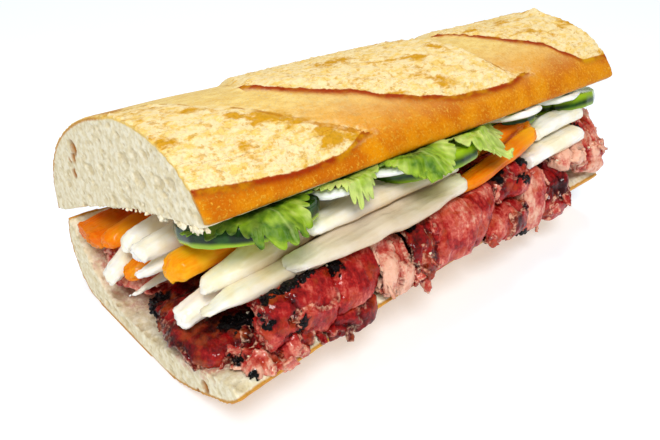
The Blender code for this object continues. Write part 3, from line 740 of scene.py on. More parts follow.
def breadHalf(name, section, crustSkin, crustShape, settings, holes=(), sauces=()):
    # a loaf half from its sections, sewn up, evened out and given its crumb and crust relief
    bm = mappedGrid(settings["stations"], settings["around"], section, vClosed=True, capped=True)
    bm = evenMesh(bm, settings["voxel"], 1)
    finerEnds(bm)
    skin = BVHTree.FromBMesh(crustSkin)
    crustSkin.free()
    layers = {key: attribute(bm, key) for key in
              ("crustDepth", "padInside", "earLine", "toast", "upper", "pore", "backLine",
               "stain")}
    moves = []
    bm.normal_update()
    for vert in bm.verts:
        point = vert.co.copy()
        depth = skin.find_nearest(point)[3]
        # painted shade: the curl cuts the crust depth down near the open edge, so a dark
        # crust-coloured band stands where the shadow under that edge falls
        if "curl" in settings:
            gap = (point - topCrust(point.x, settings["angles"][1])).length
            depth *= 1.0 - smoothstep(1.0, 5.0, point.x) * smoothstep(*reversed(settings["curl"]), gap)
        pad, ear, upper, seam = crustShape(point)
        onCrumb = smoothstep(0.5, bread["poreRim"] + 0.5, depth)
        pits, share = poreDepth(point) if onCrumb > 0.0 else (0.0, 0.0)
        brown = 0.0
        # the big holes are cut deeper and given painted shade inside
        for centre, radius, deep in holes:
            gap = (point - Vector(centre)).length / radius
            if gap < 1.25:
                brown = max(brown, smoothstep(1.25, 0.75, gap))
                pits += deep * math.sqrt(max(1.0 - gap * gap, 0.0))
        soaked = 0.0
        for sauce in sauces:
            gap = sauce.find_nearest(point)[3] + 1.5 * noise.noise(point * 0.4)
            soaked = max(soaked, smoothstep(4.0, 0.5, gap) * onCrumb)
        rough = 0.10 * noise.noise(point * 0.9) * onCrumb
        crustRough = (1.0 - onCrumb) * smoothstep(-0.5, 1.5, pad) * bread["padRoughness"]
        rough += crustRough * noise.fractal(point * 0.55, 0.6, 2.1, 4)
        rough += 0.05 * (1.0 - onCrumb) * noise.noise(point * 1.4)
        moves.append((vert, vert.normal * (rough - pits * onCrumb)))
        for key, amount in (("crustDepth", depth), ("padInside", pad), ("earLine", ear),
                            ("toast", brown), ("upper", upper), ("pore", share * onCrumb),
                            ("backLine", seam), ("stain", soaked)):
            vert[layers[key]] = amount
    for vert, move in moves:
        vert.co += move
    print(name, "has", len(bm.faces), "faces")
    return bm


# the crust's colour turns under the open edge by the curl, except at the near cut: painted shade, a
# dark band of crust colour where the shadow under the top half's edge falls
topSettings = {"stations": 180, "around": 170, "crustShare": 0.68, "angles": (1.5, 178.5),
               "voxel": 0.69, "curl": (0.5, 2.4)}
bottomSettings = {"stations": 180, "around": 170, "outsideShare": 0.58, "voxel": 0.66}


def topSection(u, v):
    x, share = u * loaf["length"], topSettings["crustShare"]
    if v < share:
        return topCrust(x, lerp(*topSettings["angles"], v / share))
    if v >= 1.0:
        return topCrust(x, topSettings["angles"][0])
    return topSplit(x, lerp(0.995, 0.02, (v - share) / (1.0 - share)))


def bottomSection(u, v):
    x, share = u * loaf["length"], bottomSettings["outsideShare"]
    if v < share:
        return bottomPoint(x, outsidePath, v / share)
    if v >= 1.0:
        return bottomPoint(x, outsidePath, 0.0)
    return bottomPoint(x, insidePath, (v - share) / (1.0 - share))


def topCrustShape(point):
    angle = crustAngle(point)
    _, ear, _, softPad, seam = scoreAt(point.x, angle)
    upper = smoothstep(170.0, 122.0, angle) * smoothstep(2.0, 60.0, angle)
    return softPad, ear, upper, seam


def bottomCrustShape(point):
    return -20.0, -20.0, 0.1, 20.0


topHoles = (((0.0, -16.4, 45.0), 1.9, 1.4), ((0.0, -15.4, 42.0), 1.2, 0.9),
            ((0.0, -14.4, 37.6), 1.2, 0.7), ((0.0, -12.6, 40.4), 0.7, 0.5))
bottomHoles = (((0.0, -69.3, 8.5), 1.5, 1.1), ((0.3, -66.0, 5.0), 0.8, 0.6))


topSkin = mappedGrid(90, 110, lambda u, v: topCrust(lerp(-4.0, loaf["length"] + 4.0, u),
                                                    lerp(1.0, 179.0, v)))
bottomSkin = mappedGrid(90, 70, lambda u, v: bottomPoint(lerp(-4.0, loaf["length"] + 4.0, u),
                                                         outsidePath, v))
topBread = breadHalf("bread top", topSection, topSkin, topCrustShape, topSettings, topHoles)
finishPiece("breadTop", topBread, breadTopMaterial, "bread_top", ["bread_top"])
# the bottom crumb is soaked pink where it meets these slices
sauces = []
for node in ("pork_01", "pork_16"):
    slice = cadShape(node)
    sauces.append(BVHTree.FromBMesh(slice))
    slice.free()
bottomBread = breadHalf("bread bottom", bottomSection, bottomSkin, bottomCrustShape,
                        bottomSettings, bottomHoles, sauces)
finishPiece("breadBottom", bottomBread, breadBottomMaterial, "bread_bottom", ["bread_bottom"])
print("bread made")


# Pork -------------------------------------------------------------------------------------------

# Each piece: its tone from dark to pale, how pale its torn rims are, how ruffled it is, its sheets
# (degrees round it from the back over the top to the front, shares of its length, lift, tone) and
# its charred streaks (from, to, half width).
folded = ((35, 214, 0.00, 1.00, -0.5, 0.0), (120, 240, 0.06, 0.60, -0.9, -0.08),
          (165, 246, 0.30, 0.98, 0.0, 0.08), (60, 120, 0.45, 1.00, 0.3, -0.05))
smooth = ((35, 236, 0.00, 1.00, -0.4, 0.0), (150, 246, 0.05, 0.50, -1.0, -0.12))
flat = ((20, 165, 0.00, 1.00, -0.5, 0.0), (40, 120, 0.05, 0.60, 0.3, 0.1),
        (80, 170, 0.35, 1.00, 0.2, -0.08), (100, 175, 0.0, 0.45, 0.6, 0.0))
scrap = ((60, 226, 0.00, 1.00, -0.5, 0.0), (100, 190, 0.00, 0.60, 0.2, 0.15),
         (150, 250, 0.45, 1.00, -0.2, -0.08))
porkRows = {
    "pork_01": (0.20, 0.35, 0.5, flat, (((2, -41, 14.5), (0, -46, 12), 1.7),
                                        ((0.5, -49, 11), (0.5, -55, 9.5), 1.8),
                                        ((9, -66, 18), (14, -68, 18), 2.6),
                                        ((3, -37, 16), (5, -40, 17), 2.2))),
    "pork_02": (0.74, 0.9, 1.0, scrap, (((4, -74.6, 18), (4.6, -75, 18), 1.5),
                                        ((5, -79.6, 16), (5, -79.8, 15.5), 1.3))),
    "pork_03": (0.58, 0.9, 1.0, scrap, ()),
    "pork_04": (0.42, 0.7, 0.65, folded, (((13.6, -75, 29), (18, -76, 30.5), 0.8),
                                         ((18, -76, 30.5), (26, -74.4, 31), 0.8),
                                         ((12, -72, 29), (21, -71, 31), 1.2),
                                         ((18, -79.5, 25), (18, -80, 22), 1.2),
                                         ((9.5, -74, 26), (12, -77, 24), 0.8))),
    "pork_05": (0.46, 0.7, 0.35, smooth, (((27.5, -70, 30), (30, -75, 29.5), 2.0),)),
    "pork_06": (0.30, 0.5, 0.8, scrap, ()),
    "pork_07": (1.02, 0.9, 1.1, folded, ()),
    "pork_08": (0.42, 0.8, 1.1, folded, (((50, -70, 31), (53, -75, 30.5), 1.4),)),
    "pork_09": (0.56, 0.5, 0.3, smooth, (((60, -70, 32), (70, -71, 32), 1.5),)),
    "pork_10": (0.40, 0.5, 0.6, folded, (((82, -70, 34), (86, -73, 32.5), 1.8),
                                         ((90, -69, 34), (99, -72, 32), 1.2),
                                         ((93, -75, 30), (96, -75, 29), 0.9))),
    "pork_11": (0.36, 0.8, 1.1, scrap, ()),
    "pork_12": (0.76, 0.6, 0.25, smooth, (((97, -74, 11), (102, -73, 9.5), 2.0),)),
    "pork_13": (0.32, 0.8, 1.0, folded, ()),
    "pork_14": (1.12, 0.9, 1.1, folded, ()),
    "pork_15": (0.88, 0.9, 1.2, folded, (((126, -62, 33), (130, -66, 32), 0.9),)),
    "pork_16": (0.74, 0.8, 0.6, flat, ()),
    "pork_17": (0.40, 0.5, 0.7, flat, ()),
    "pork_18": (0.40, 0.5, 0.7, flat, ()),
    "pork_19": (0.50, 0.6, 0.7, flat, ()),
}
pork = {
    "seed": 41, "voxel": 0.50, "coarseVoxel": 0.8, "spacing": 0.75, "sheet": 1.2, "ragged": 0.26,
    "crease": 1.7, "creaseSize": 9.0, "fold": 0.45, "foldSize": 3.6, "lump": 0.22, "fibre": 0.14,
    "hem": 0.8,
    "char": 0.55, "shrink": 1.2, "outside": 0.7,
}


def segmentGap(point, start, end):
    along = end - start
    share = max(0.0, min(1.0, (point - start).dot(along) / max(along.length_squared, 0.001)))
    return (point - start - along * share).length


def porkSheet(tree, low, high, row, ruffle, shift):
    # a thin torn sheet wrapped on the outside of a piece, with its points' place on the sheet
    start, end, left, right, lift, tone = row
    height = lerp(low.z, high.z, 0.35)
    width = (right - left) * (high.x - low.x)
    arc = math.radians(end - start) * 0.5 * (high.y - low.y + high.z - low.z) * 0.62
    steps = (max(10, int(arc / pork["spacing"])), max(8, int(width / pork["spacing"])))
    ragged = pork["ragged"]

    def shape(u, v):
        side, tip = (1 if v > 0.5 else -1), (1 if u > 0.5 else -1)
        tornSide = noise.fractal(shift + Vector((u * 5.0, side * 7.0, 0.0)), 0.8, 2.2, 4)
        tornTip = noise.fractal(shift + Vector((v * 5.0, tip * 9.0, 3.0)), 0.8, 2.2, 4)
        across = 0.5 + (v - 0.5) * (1.0 + ragged * tornSide - 0.04)
        along = 0.5 + (u - 0.5) * (1.0 + ragged * 1.3 * tornTip - 0.05)
        x = low.x + (high.x - low.x) * lerp(left, right, across)
        x = min(max(x, low.x + 0.2), high.x - 0.2)
        turn = math.radians(lerp(start, end, along))
        outward = Vector((0.0, math.cos(turn), math.sin(turn)))
        middle = Vector((x, lerp(low.y, high.y, 0.45), height))
        hit, normal, _, _ = tree.ray_cast(middle + outward * 60.0, -outward)
        if hit is None:
            hit, normal, _, _ = tree.find_nearest(middle + outward * 12.0)
        edge = max(abs(2.0 * u - 1.0), abs(2.0 * v - 1.0))
        folds = 1.3 * noise.noise(shift + Vector((across * width * 0.16, along * arc * 0.07, 0.0)))
        folds += 0.4 * noise.noise(shift + Vector((across * width * 0.5, along * arc * 0.2, 5.0)))
        curl = 0.9 * edge ** 6 * (0.4 + noise.noise(shift + hit * 0.15))
        return hit + normal * (lift + ruffle * (folds + curl))

    bm = mappedGrid(steps[0], steps[1], shape)
    soften(bm, 2)
    uLayer, vLayer = bm.verts.layers.float["u"], bm.verts.layers.float["v"]
    marks = []
    for vert in bm.verts:
        u, v = vert[uLayer], vert[vLayer]
        rim = min(min(u, 1.0 - u) * arc, min(v, 1.0 - v) * width)
        marks.append((vert.co.copy(), tone, u * arc, v * width, rim))
    return shapedBy(bm, "SOLIDIFY", thickness=pork["sheet"], offset=0.0), marks


def porkPiece(number, node, row):
    tone, paleRim, ruffle, sheets, charred = row
    low, high = cadBox(node)
    core = cadShape(node)
    tree = BVHTree.FromBMesh(core)
    core = evenMesh(core, 0.9, 3)
    pushed(core, lambda vert: -pork["shrink"])
    parts, marks = [core], []
    for index, sheet in enumerate(sheets):
        shift = Vector((number * 13.7 + index * 5.1, pork["seed"], index * 3.3))
        part, more = porkSheet(tree, low, high, sheet, ruffle, shift)
        parts.append(part)
        marks += [(*mark, index * 17.0) for mark in more]
    hidden = node in ("pork_17", "pork_18", "pork_19")
    bm = evenMesh(joined(parts), pork["coarseVoxel"] if hidden else pork["voxel"], 1)
    nearest = KDTree(len(marks))
    for index, mark in enumerate(marks):
        nearest.insert(mark[0], index)
    nearest.balance()
    streaks = []
    for start, end, size in charred:
        streaks.append((tree.find_nearest(Vector(start))[0], tree.find_nearest(Vector(end))[0], size))
    layers = {key: attribute(bm, key) for key in ("tone", "rim", "paleRim", "char")}
    fibreLayer = bm.verts.layers.float_vector.new("fibre")
    bm.normal_update()
    moves = []
    for vert in bm.verts:
        point = vert.co.copy()
        _, index, gap = nearest.find(point)
        _, shiftTone, along, across, rim, sheetSeed = marks[index]
        patch = noise.fractal(point * 0.16 + Vector((number * 9.0, 0.0, 0.0)), 0.7, 2.0, 3)
        burnt = 0.0
        for start, end, size in streaks:
            away = segmentGap(point, start, end) + 1.3 * noise.fractal(point * 0.6, 0.7, 2.2, 4)
            burnt = max(burnt, smoothstep(size * 1.5, size * 0.6, away))
        grainPlace = Vector((along * 0.22, across * 1.1, sheetSeed + number))
        own = Vector((0.0, number * 7.0, 0.0))
        bend = 5.0 * noise.noise(point * 0.11 + own)
        drape = Vector((along * 0.30, across + bend, sheetSeed * 3.0))
        crease = 1.0 - min(1.0, 3.4 * abs(noise.noise(drape / pork["creaseSize"] + own)))
        fold = 1.0 - min(1.0, 3.0 * abs(noise.noise(drape / pork["foldSize"] - own)))
        hollow = (crease ** 2 * pork["crease"] + fold ** 2 * pork["fold"]) * ruffle
        hollow += pork["hem"] * smoothstep(1.6, 0.0, rim) * (0.5 + noise.noise(point * 0.5))
        lump = noise.fractal(point * 0.8 + own, 0.8, 2.1, 3)
        rough = pork["lump"] * lump + pork["fibre"] * noise.noise(grainPlace * 1.3)
        rough += 0.35 - hollow
        if burnt > 0.05:
            bead = 0.5 - noise.voronoi(point / 1.25)[0][0]
            rough += pork["char"] * burnt * bead
        moves.append((vert, vert.normal * rough))
        # painted shade: the tone drops with the hollow, so the creases, folds and curled hems are
        # darker and the ridges paler
        vert[layers["tone"]] = tone + shiftTone + 0.22 * patch + 0.10 - 0.24 * hollow
        vert[layers["rim"]] = rim + max(gap - 1.2, 0.0)
        vert[layers["paleRim"]] = paleRim
        vert[layers["char"]] = burnt
        vert[fibreLayer] = grainPlace
    for vert, move in moves:
        vert.co += move
        near, normal, _, gap = tree.find_nearest(vert.co)
        past = gap if (vert.co - near).dot(normal) > 0 else 0.0
        if past > pork["outside"]:
            allowed = pork["outside"] * (2.0 - math.exp(1.0 - past / pork["outside"]))
            vert.co = near.lerp(vert.co, allowed / past)
    surfaces[node], charLines[node] = BVHTree.FromBMesh(bm), streaks
    bm.normal_update()
    if not hidden:
        hems.extend((vert.co.copy(), vert.normal.copy(), tone, number) for vert in bm.verts
                    if vert[layers["rim"]] < 1.4 and vert.normal.y < 0.1 and vert.normal.z > -0.5
                    and vert.co.y < -50.0)
    count = len(bm.faces)
    finishPiece(camel(node), bm, porkMaterial, "pork", [node])
    return count


def camel(node):
    kind, number = node.split("_")
    return kind + number


surfaces, charLines, hems = {}, {}, []
faces = sum(porkPiece(number, node, row) for number, (node, row) in enumerate(porkRows.items(), 1))
print("pork made,", faces, "faces")


# Pickled batons ---------------------------------------------------------------------------------

batons = {"seed": 7, "voxel": 0.5, "rounds": 1, "bulge": 0.55, "ridge": 0.20, "tip": (1.2, 3.2),
          "slant": 2.0, "stations": 24, "ragged": 0.5}
# how far some near tips lean out of line
leans = {"daikon_07": (-1.0, 1.5, 1.5), "daikon_08": (-2.0, 2.5, 2.0), "carrot_01": (-2.0, 1.5, 0.3),
         "daikon_05": (-2.0, 1.5, 0.5), "carrot_03": (-1.0, 1.0, 0.0), "daikon_02": (-2.0, 2.0, 0.5)}
# the share of their length, measured from the near end, and of their girth that some keep
trimmed = {"daikon_11": (0.84, 0.82), "daikon_12": (0.88, 0.80), "daikon_13": (0.84, 0.9),
           "carrot_05": (1.0, 0.76)}
# a slice rather than a baton: how far from its middle its flat faces are, in millimetres
sliced = {"daikon_09": 2.1}
# batons cut off square: the share of their tips' rounding that they keep
blunt = {"daikon_11": 0.3, "daikon_12": 0.3, "daikon_13": 0.3}


def mainAxes(points):
    # middle of a cloud of points and its axes, longest first
    cloud = np.array([tuple(point) for point in points])
    middle = cloud.mean(axis=0)
    sizes, axes = np.linalg.eigh(np.cov((cloud - middle).T))
    ordered = [Vector(axes[:, index]) for index in (2, 1, 0)]
    return Vector(middle), ordered


def batonPiece(number, node, material, shaded=0.0):
    core = cadShape(node)
    middle, axes = mainAxes(vert.co for vert in core.verts)
    if axes[0].x < 0:
        axes[0].negate()
    bm = evenMesh(core, batons["voxel"], batons["rounds"])
    places = [[(vert.co - middle).dot(axis) for axis in axes] for vert in bm.verts]
    low, high = min(place[0] for place in places), max(place[0] for place in places)
    stations = [[] for _ in range(batons["stations"])]
    for along, across, up in places:
        stations[min(int((along - low) / (high - low) * batons["stations"]),
                     batons["stations"] - 1)].append((across, up))
    centres = [Vector((sum(place[0] for place in station) / len(station),
                       sum(place[1] for place in station) / len(station), 0.0))
               for station in stations]
    chance = random.Random(batons["seed"] * 100 + number)
    tips = [(chance.uniform(*batons["tip"]), chance.uniform(-1, 1) * batons["slant"],
             chance.uniform(-1, 1) * batons["slant"]) for _ in range(2)]
    lean = Vector(leans.get(node, (0.0, 0.0, 0.0)))
    for vert, (along, across, up) in zip(bm.verts, places):
        atNear = along - low < high - along
        length, slantAcross, slantUp = tips[0 if atNear else 1]
        length *= blunt.get(node, 1.0)
        fromTip = along - low if atNear else high - along
        if fromTip < length:
            centre = alongPath(centres, (along - low) / (high - low))
            size = math.sqrt(1.0 - (1.0 - max(fromTip, 0.0) / length) ** 2) * 0.75 + 0.25
            vert.co -= (axes[1] * (across - centre.x - slantAcross)
                        + axes[2] * (up - centre.y - slantUp)) * (1.0 - size)
        vert.co += lean * max(0.0, 1.0 - (along - low) / (0.6 * (high - low))) ** 1.5
        if node in sliced:
            away = up - alongPath(centres, (along - low) / (high - low)).y
            vert.co += axes[2] * (sliced[node] * math.tanh(away / sliced[node]) - away)
        if node in trimmed:
            kept, girth = trimmed[node]
            centre = alongPath(centres, (along - low) / (high - low))
            vert.co -= (axes[0] * (along - low) * (1.0 - kept)
                        + (axes[1] * (across - centre.x) + axes[2] * (up - centre.y)) * (1.0 - girth))
    soften(bm, 1)
    fibreLayer = bm.verts.layers.float_vector.new("fibre")
    shadeLayer = attribute(bm, "shade")
    bm.normal_update()
    moves = []
    shift = Vector((number * 11.3, 0.0, 0.0))
    for vert in bm.verts:
        place = vert.co - middle
        along, across, up = (place.dot(axis) for axis in axes)
        grainPlace = Vector((along * 0.10, across * 1.0, up * 1.0))
        rough = batons["bulge"] * noise.noise(shift + Vector((along * 0.12, across * 0.2, up * 0.2)))
        rough += batons["ridge"] * noise.fractal(shift + grainPlace * 0.9, 0.7, 2.2, 4)
        nearTip = smoothstep(4.0, 0.0, min(along - low, high - along))
        rough += nearTip * batons["ragged"] * noise.fractal(shift + place * 0.8, 0.8, 2.2, 4)
        moves.append((vert, vert.normal * rough))
        vert[fibreLayer] = shift + grainPlace * 1.4
        # painted shade: darker away from their ends, deeper in under the top half, and on their
        # undersides
        fromTip = min(along - low, (high - along) * 1.5) + 2.0 * noise.noise(shift + place * 0.3)
        under = smoothstep(0.4, -0.9, vert.normal.z)
        depth = smoothstep(2.0, 16.0, fromTip) * (0.5 + 0.5 * under)
        vert[shadeLayer] = min(1.0, shaded + 0.75 * depth)
    for vert, move in moves:
        vert.co += move
    surfaces[node] = BVHTree.FromBMesh(bm)
    slot = node.split("_")[0]
    finishPiece(camel(node), bm, material, slot, [node])


for number in range(1, 14):         # the last three, at the far end, get the least painted shade and are the whitest
    batonPiece(number, "daikon_%02d" % number, slabMaterial if number == 9 else daikonMaterial,
               -0.4 if number > 10 else 0.0)
# each carrot's own painted shade, most for those tucked deepest under the top half
for number, shaded in enumerate((0.55, 0.35, 0.30, 0.0, 0.1, 0.3), 1):
    batonPiece(20 + number, "carrot_%02d" % number, carrotMaterial, shaded)
print("batons made")


# Cucumber and onion -----------------------------------------------------------------------------

cucumber = {"around": 150, "across": 60, "wave": 0.35}


def cucumberPiece(number, node, skinUp):
    core = cadShape(node)
    tree = BVHTree.FromBMesh(core)
    middle, axes = mainAxes(vert.co for vert in core.verts)
    normal = axes[2] if axes[2].z > 0 else -axes[2]
    side = axes[0]
    depth = normal.cross(side)
    half = max(abs((vert.co - middle).dot(normal)) for vert in core.verts)
    core.free()
    shift = Vector((number * 8.3, 2.0, 0.0))
    profile = roundedPath(((0.0, 1.0), (0.6, 1.0), (0.93, 0.98), (1.0, 0.62), (1.0, -0.62),
                           (0.93, -0.98), (0.6, -1.0), (0.0, -1.0)), 8)

    def shape(u, v):
        turn = u * 2.0 * math.pi
        outward = side * math.cos(turn) + depth * math.sin(turn)
        hit = tree.ray_cast(middle + outward * 40.0, -outward)[0]
        radius = (hit - middle).length if hit is not None else 8.0
        share, height = alongPath(profile, v)
        place = middle + outward * radius * share + normal * half * height
        wave = noise.noise(shift + place * 0.12)
        return place + normal * cucumber["wave"] * wave

    bm = mappedGrid(cucumber["around"], cucumber["across"], shape, uClosed=True)
    bmesh.ops.remove_doubles(bm, verts=bm.verts, dist=0.01)
    bmesh.ops.recalc_face_normals(bm, faces=bm.faces)
    reachLayer, skinLayer = attribute(bm, "reach"), attribute(bm, "skin")
    vLayer = bm.verts.layers.float["v"]
    for vert in bm.verts:
        share, height = alongPath(profile, vert[vLayer])
        vert[reachLayer] = share
        if skinUp:
            covered = smoothstep(-0.75, -0.3, height + 0.25 * noise.noise(vert.co * 0.2))
        else:
            covered = smoothstep(0.96, 0.995, share) * bellCurve(height + 0.15, 0.55)
        vert[skinLayer] = covered
    surfaces[node] = BVHTree.FromBMesh(bm)
    finishPiece(camel(node), bm, cucumberMaterial, "cucumber", [node])


def onionPiece(number, node):
    core = cadShape(node)
    middle, axes = mainAxes(vert.co for vert in core.verts)
    normal = axes[2]
    side = axes[0]
    depth = normal.cross(side)
    bm = evenMesh(core, 0.42, 5)
    fibreLayer = bm.verts.layers.float_vector.new("fibre")
    for vert in bm.verts:
        place = vert.co - middle
        across, deep, up = place.dot(side), place.dot(depth), place.dot(normal)
        radius = math.hypot(across, deep)
        vert[fibreLayer] = Vector((math.atan2(deep, across) * 2.5, radius * 1.6, up * 2.2))
    pushed(bm, lambda vert: 0.12 * noise.noise(vert.co * 0.5))
    surfaces[node] = BVHTree.FromBMesh(bm)
    finishPiece(camel(node), bm, onionMaterial, "onion", [node])


for number, skinUp in enumerate((True, False, False, False), 1):
    cucumberPiece(number, "cucumber_%02d" % number, skinUp)
    onionPiece(number, "onion_%02d" % number)
print("cucumber and onion made")


# Leaves -----------------------------------------------------------------------------------------

leafRows = {
    "cilantro_01": {"lobes": 3, "spread": 108, "tone": 0.20, "droop": 0.9, "teeth": 7,
                    "tooth": 0.17, "notch": 0.10, "paler": 0.45, "reach": 1.0},
    "cilantro_02": {"lobes": 3, "spread": 104, "tone": 0.92, "droop": 0.2, "teeth": 6,
                    "tooth": 0.20, "notch": 0.17, "paler": 0.0, "reach": 0.68},
    "cilantro_03": {"lobes": 3, "spread": 104, "tone": 0.52, "droop": 0.3, "teeth": 9,
                    "tooth": 0.08, "notch": 0.05, "paler": 0.25, "reach": 0.94},
    "cilantro_04": {"lobes": 4, "spread": 108, "tone": 0.72, "droop": 0.3, "teeth": 5,
                    "tooth": 0.24, "notch": 0.20, "paler": 0.1, "reach": 1.0},
}
leaves = {"around": 420, "along": 30, "thick": 0.35, "ruffle": 0.60, "puckered": 0.15}


def leafPiece(number, node, row):
    core = cadShape(node)
    tree = BVHTree.FromBMesh(core)
    core.free()
    low, high = cadBox(node)
    base = Vector((lerp(low.x, high.x, 0.5), high.y - 1.0))
    half, deep = (high.x - low.x) * 0.5, (high.y - low.y) * row["reach"]
    spread, lobes = math.radians(row["spread"]), row["lobes"]
    shift = Vector((number * 6.1, 4.0, 1.0))

    def outline(turn):
        # how far the leaf reaches in a direction, with lobes and rounded teeth
        oval = 1.0 / math.hypot(math.cos(turn) / deep, math.sin(turn) / half)
        phase = (turn + spread) / (2.0 * spread) * lobes
        within = abs(2.0 * (phase % 1.0) - 1.0)            # 0 along a lobe's middle
        lobe = 1.0 - row["notch"] * within ** 2.2
        bent = phase + 0.05 * noise.noise(shift + Vector((phase * 6.0, 3.0, 0.0)))
        tooth = abs(math.sin(math.pi * bent * row["teeth"])) ** 0.7
        uneven = 0.10 * noise.noise(shift + Vector((phase * 1.7, 0.0, 0.0)))
        cut = row["tooth"] * (0.7 + 0.6 * noise.cell(shift + Vector((bent * row["teeth"], 7, 0))))
        return oval * (lobe + uneven - abs(cut) * (1.0 - tooth)), within, phase

    def shape(u, v):
        turn = lerp(-spread, spread, u)
        reach, within, phase = outline(turn)
        out = reach * v
        x = base.x + math.sin(turn) * out
        y = base.y - math.cos(turn) * out
        hit = tree.ray_cast(Vector((x, y, 90.0)), Vector((0.0, 0.0, -1.0)))[0]
        if hit is None:
            near, _, _, gap = tree.find_nearest(Vector((x, y, high.z)))
            hit = Vector((x, y, near.z - row["droop"] * gap))
        ruffle = leaves["ruffle"] * noise.noise(shift + Vector((x, y, 0.0)) * 0.22)
        branches = abs(2.0 * ((phase * row["teeth"] + 0.5) % 1.0) - 1.0)
        pucker = leaves["puckered"] * (v * branches + noise.noise(shift + Vector((x, y, 5.0)) * 0.6))
        cupped = 0.4 * v * (1.0 - within) ** 2
        return Vector((x, y, hit.z + ruffle + cupped - pucker * (1.0 - 0.5 * v)))

    bm = mappedGrid(leaves["around"], leaves["along"], shape)
    bmesh.ops.remove_doubles(bm, verts=bm.verts, dist=0.02)
    toneLayer, veinLayer = attribute(bm, "tone"), attribute(bm, "vein")
    uLayer, vLayer = bm.verts.layers.float["u"], bm.verts.layers.float["v"]
    for vert in bm.verts:
        u, v = vert[uLayer], vert[vLayer]
        reach, within, phase = outline(lerp(-spread, spread, u))
        width = within * v * reach * spread / lobes
        branch = abs(2.0 * ((phase * row["teeth"] + 0.5) % 1.0) - 1.0) * spread * reach * v
        branch /= lobes * row["teeth"]
        vein = bellCurve(width, 0.28) + 0.22 * bellCurve(branch, 0.16) * smoothstep(0.2, 0.5, v)
        vert[veinLayer] = min(1.0, vein) * (1.0 - 0.5 * v)
        patch = 0.45 * noise.noise(shift + vert.co * 0.2) + 0.30 * noise.noise(shift + vert.co * 0.7)
        farther = (vert.co.x - low.x) / (high.x - low.x) - 0.5
        # painted shade: darker towards the stem, where the leaf goes in under the bread's edge, and
        # lighter towards the tips
        vert[toneLayer] = (row["tone"] + 0.60 * (v - 0.6) + row["paler"] * farther + patch
                           - 0.5 * smoothstep(0.62, 0.25, v))
    soften(bm, 1)
    bm = shapedBy(bm, "SOLIDIFY", thickness=leaves["thick"], offset=1.0)
    finishPiece(camel(node), bm, leafMaterial, "cilantro", [node])


for number, (node, row) in enumerate(leafRows.items(), 1):
    leafPiece(number, node, row)
print("leaves made")


# Shreds, charred beads and crumbs ---------------------------------------------------------------

shreds = {"seed": 5, "count": 150, "long": (2.0, 4.8), "wide": (1.6, 3.2), "thick": 0.7}
beads = {"seed": 9, "gap": 0.7, "size": (0.22, 0.50)}
crumbs = {"seed": 3, "size": (0.16, 0.50), "edge": 80, "loose": 26, "tufts": 30,
          "tuftSize": (0.28, 0.65)}


def lumpyBall(chance, place, size, detail=2, uneven=0.3):
    bm = bmesh.new()
    bmesh.ops.create_icosphere(bm, subdivisions=detail, radius=size)
    shift = Vector((chance.uniform(0, 50), chance.uniform(0, 50), 0.0))
    stretch = Vector([chance.uniform(0.75, 1.25) for _ in range(3)])
    for vert in bm.verts:
        grown = 1.0 + uneven * noise.noise(vert.co / size * 0.9 + shift)
        vert.co = Vector([a * b for a, b in zip(vert.co, stretch)]) * grown + place
    return bm


def makeShreds():
    # small torn curls at the hems of the slices
    chance = random.Random(shreds["seed"])
    parts = []
    for _ in range(shreds["count"]):
        place, normal, tone, number = chance.choice(hems)
        long, wide = chance.uniform(*shreds["long"]), chance.uniform(*shreds["wide"])
        down = Vector((chance.uniform(-0.7, 0.7), -0.3, -1.0))
        along = (down - normal * down.dot(normal)).normalized()
        across = normal.cross(along)
        curl = chance.uniform(-0.5, 1.4)
        shift = Vector((chance.uniform(0, 90), 0.0, 0.0))

        def shape(u, v):
            torn = noise.noise(shift + Vector((u * 4.0, v * 3.0, 0.0)))
            width = wide * (0.55 + 0.45 * math.sin(math.pi * (0.15 + 0.7 * u))) * (1.0 + 0.5 * torn)
            lift = curl * u * u + 0.5 * torn - 0.15
            return place + along * long * (u - 0.35) + across * width * (v - 0.5) + normal * lift

        bm = shapedBy(mappedGrid(11, 6, shape), "SOLIDIFY", thickness=shreds["thick"], offset=0.0)
        layers = {key: attribute(bm, key) for key in ("tone", "rim", "paleRim", "char")}
        fibreLayer = bm.verts.layers.float_vector.new("fibre")
        uLayer, vLayer = bm.verts.layers.float["u"], bm.verts.layers.float["v"]
        paler = chance.uniform(-0.1, 0.35)
        for vert in bm.verts:
            u, v = vert[uLayer], vert[vLayer]
            vert[layers["tone"]] = tone + paler + 0.15 * noise.noise(vert.co * 0.6)
            vert[layers["rim"]] = min(min(u, 1 - u) * long, min(v, 1 - v) * wide) + 0.3
            vert[layers["paleRim"]] = 0.9
            vert[layers["char"]] = 0.0
            vert[fibreLayer] = Vector((u * long * 0.22, v * wide * 1.1, shift.x))
        parts.append(bm)
    finishPiece("porkShreds", joined(parts), porkMaterial, "pork")


def makeBeads():
    # blistered beads along the charred streaks
    chance = random.Random(beads["seed"])
    parts = []
    for node, streaks in charLines.items():
        for start, end, size in streaks:
            count = int(((end - start).length + 2.0 * size) / beads["gap"] * 1.6)
            for _ in range(count):
                share = chance.uniform(-0.1, 1.1)
                place = start.lerp(end, share) + Vector([chance.gauss(0, size * 0.45)
                                                         for _ in range(3)])
                near, normal, _, _ = surfaces[node].find_nearest(place)
                radius = chance.uniform(*beads["size"])
                parts.append(lumpyBall(chance, near - normal * radius * 0.2, radius))
    finishPiece("charredBeads", joined(parts), charMaterial, "pork")


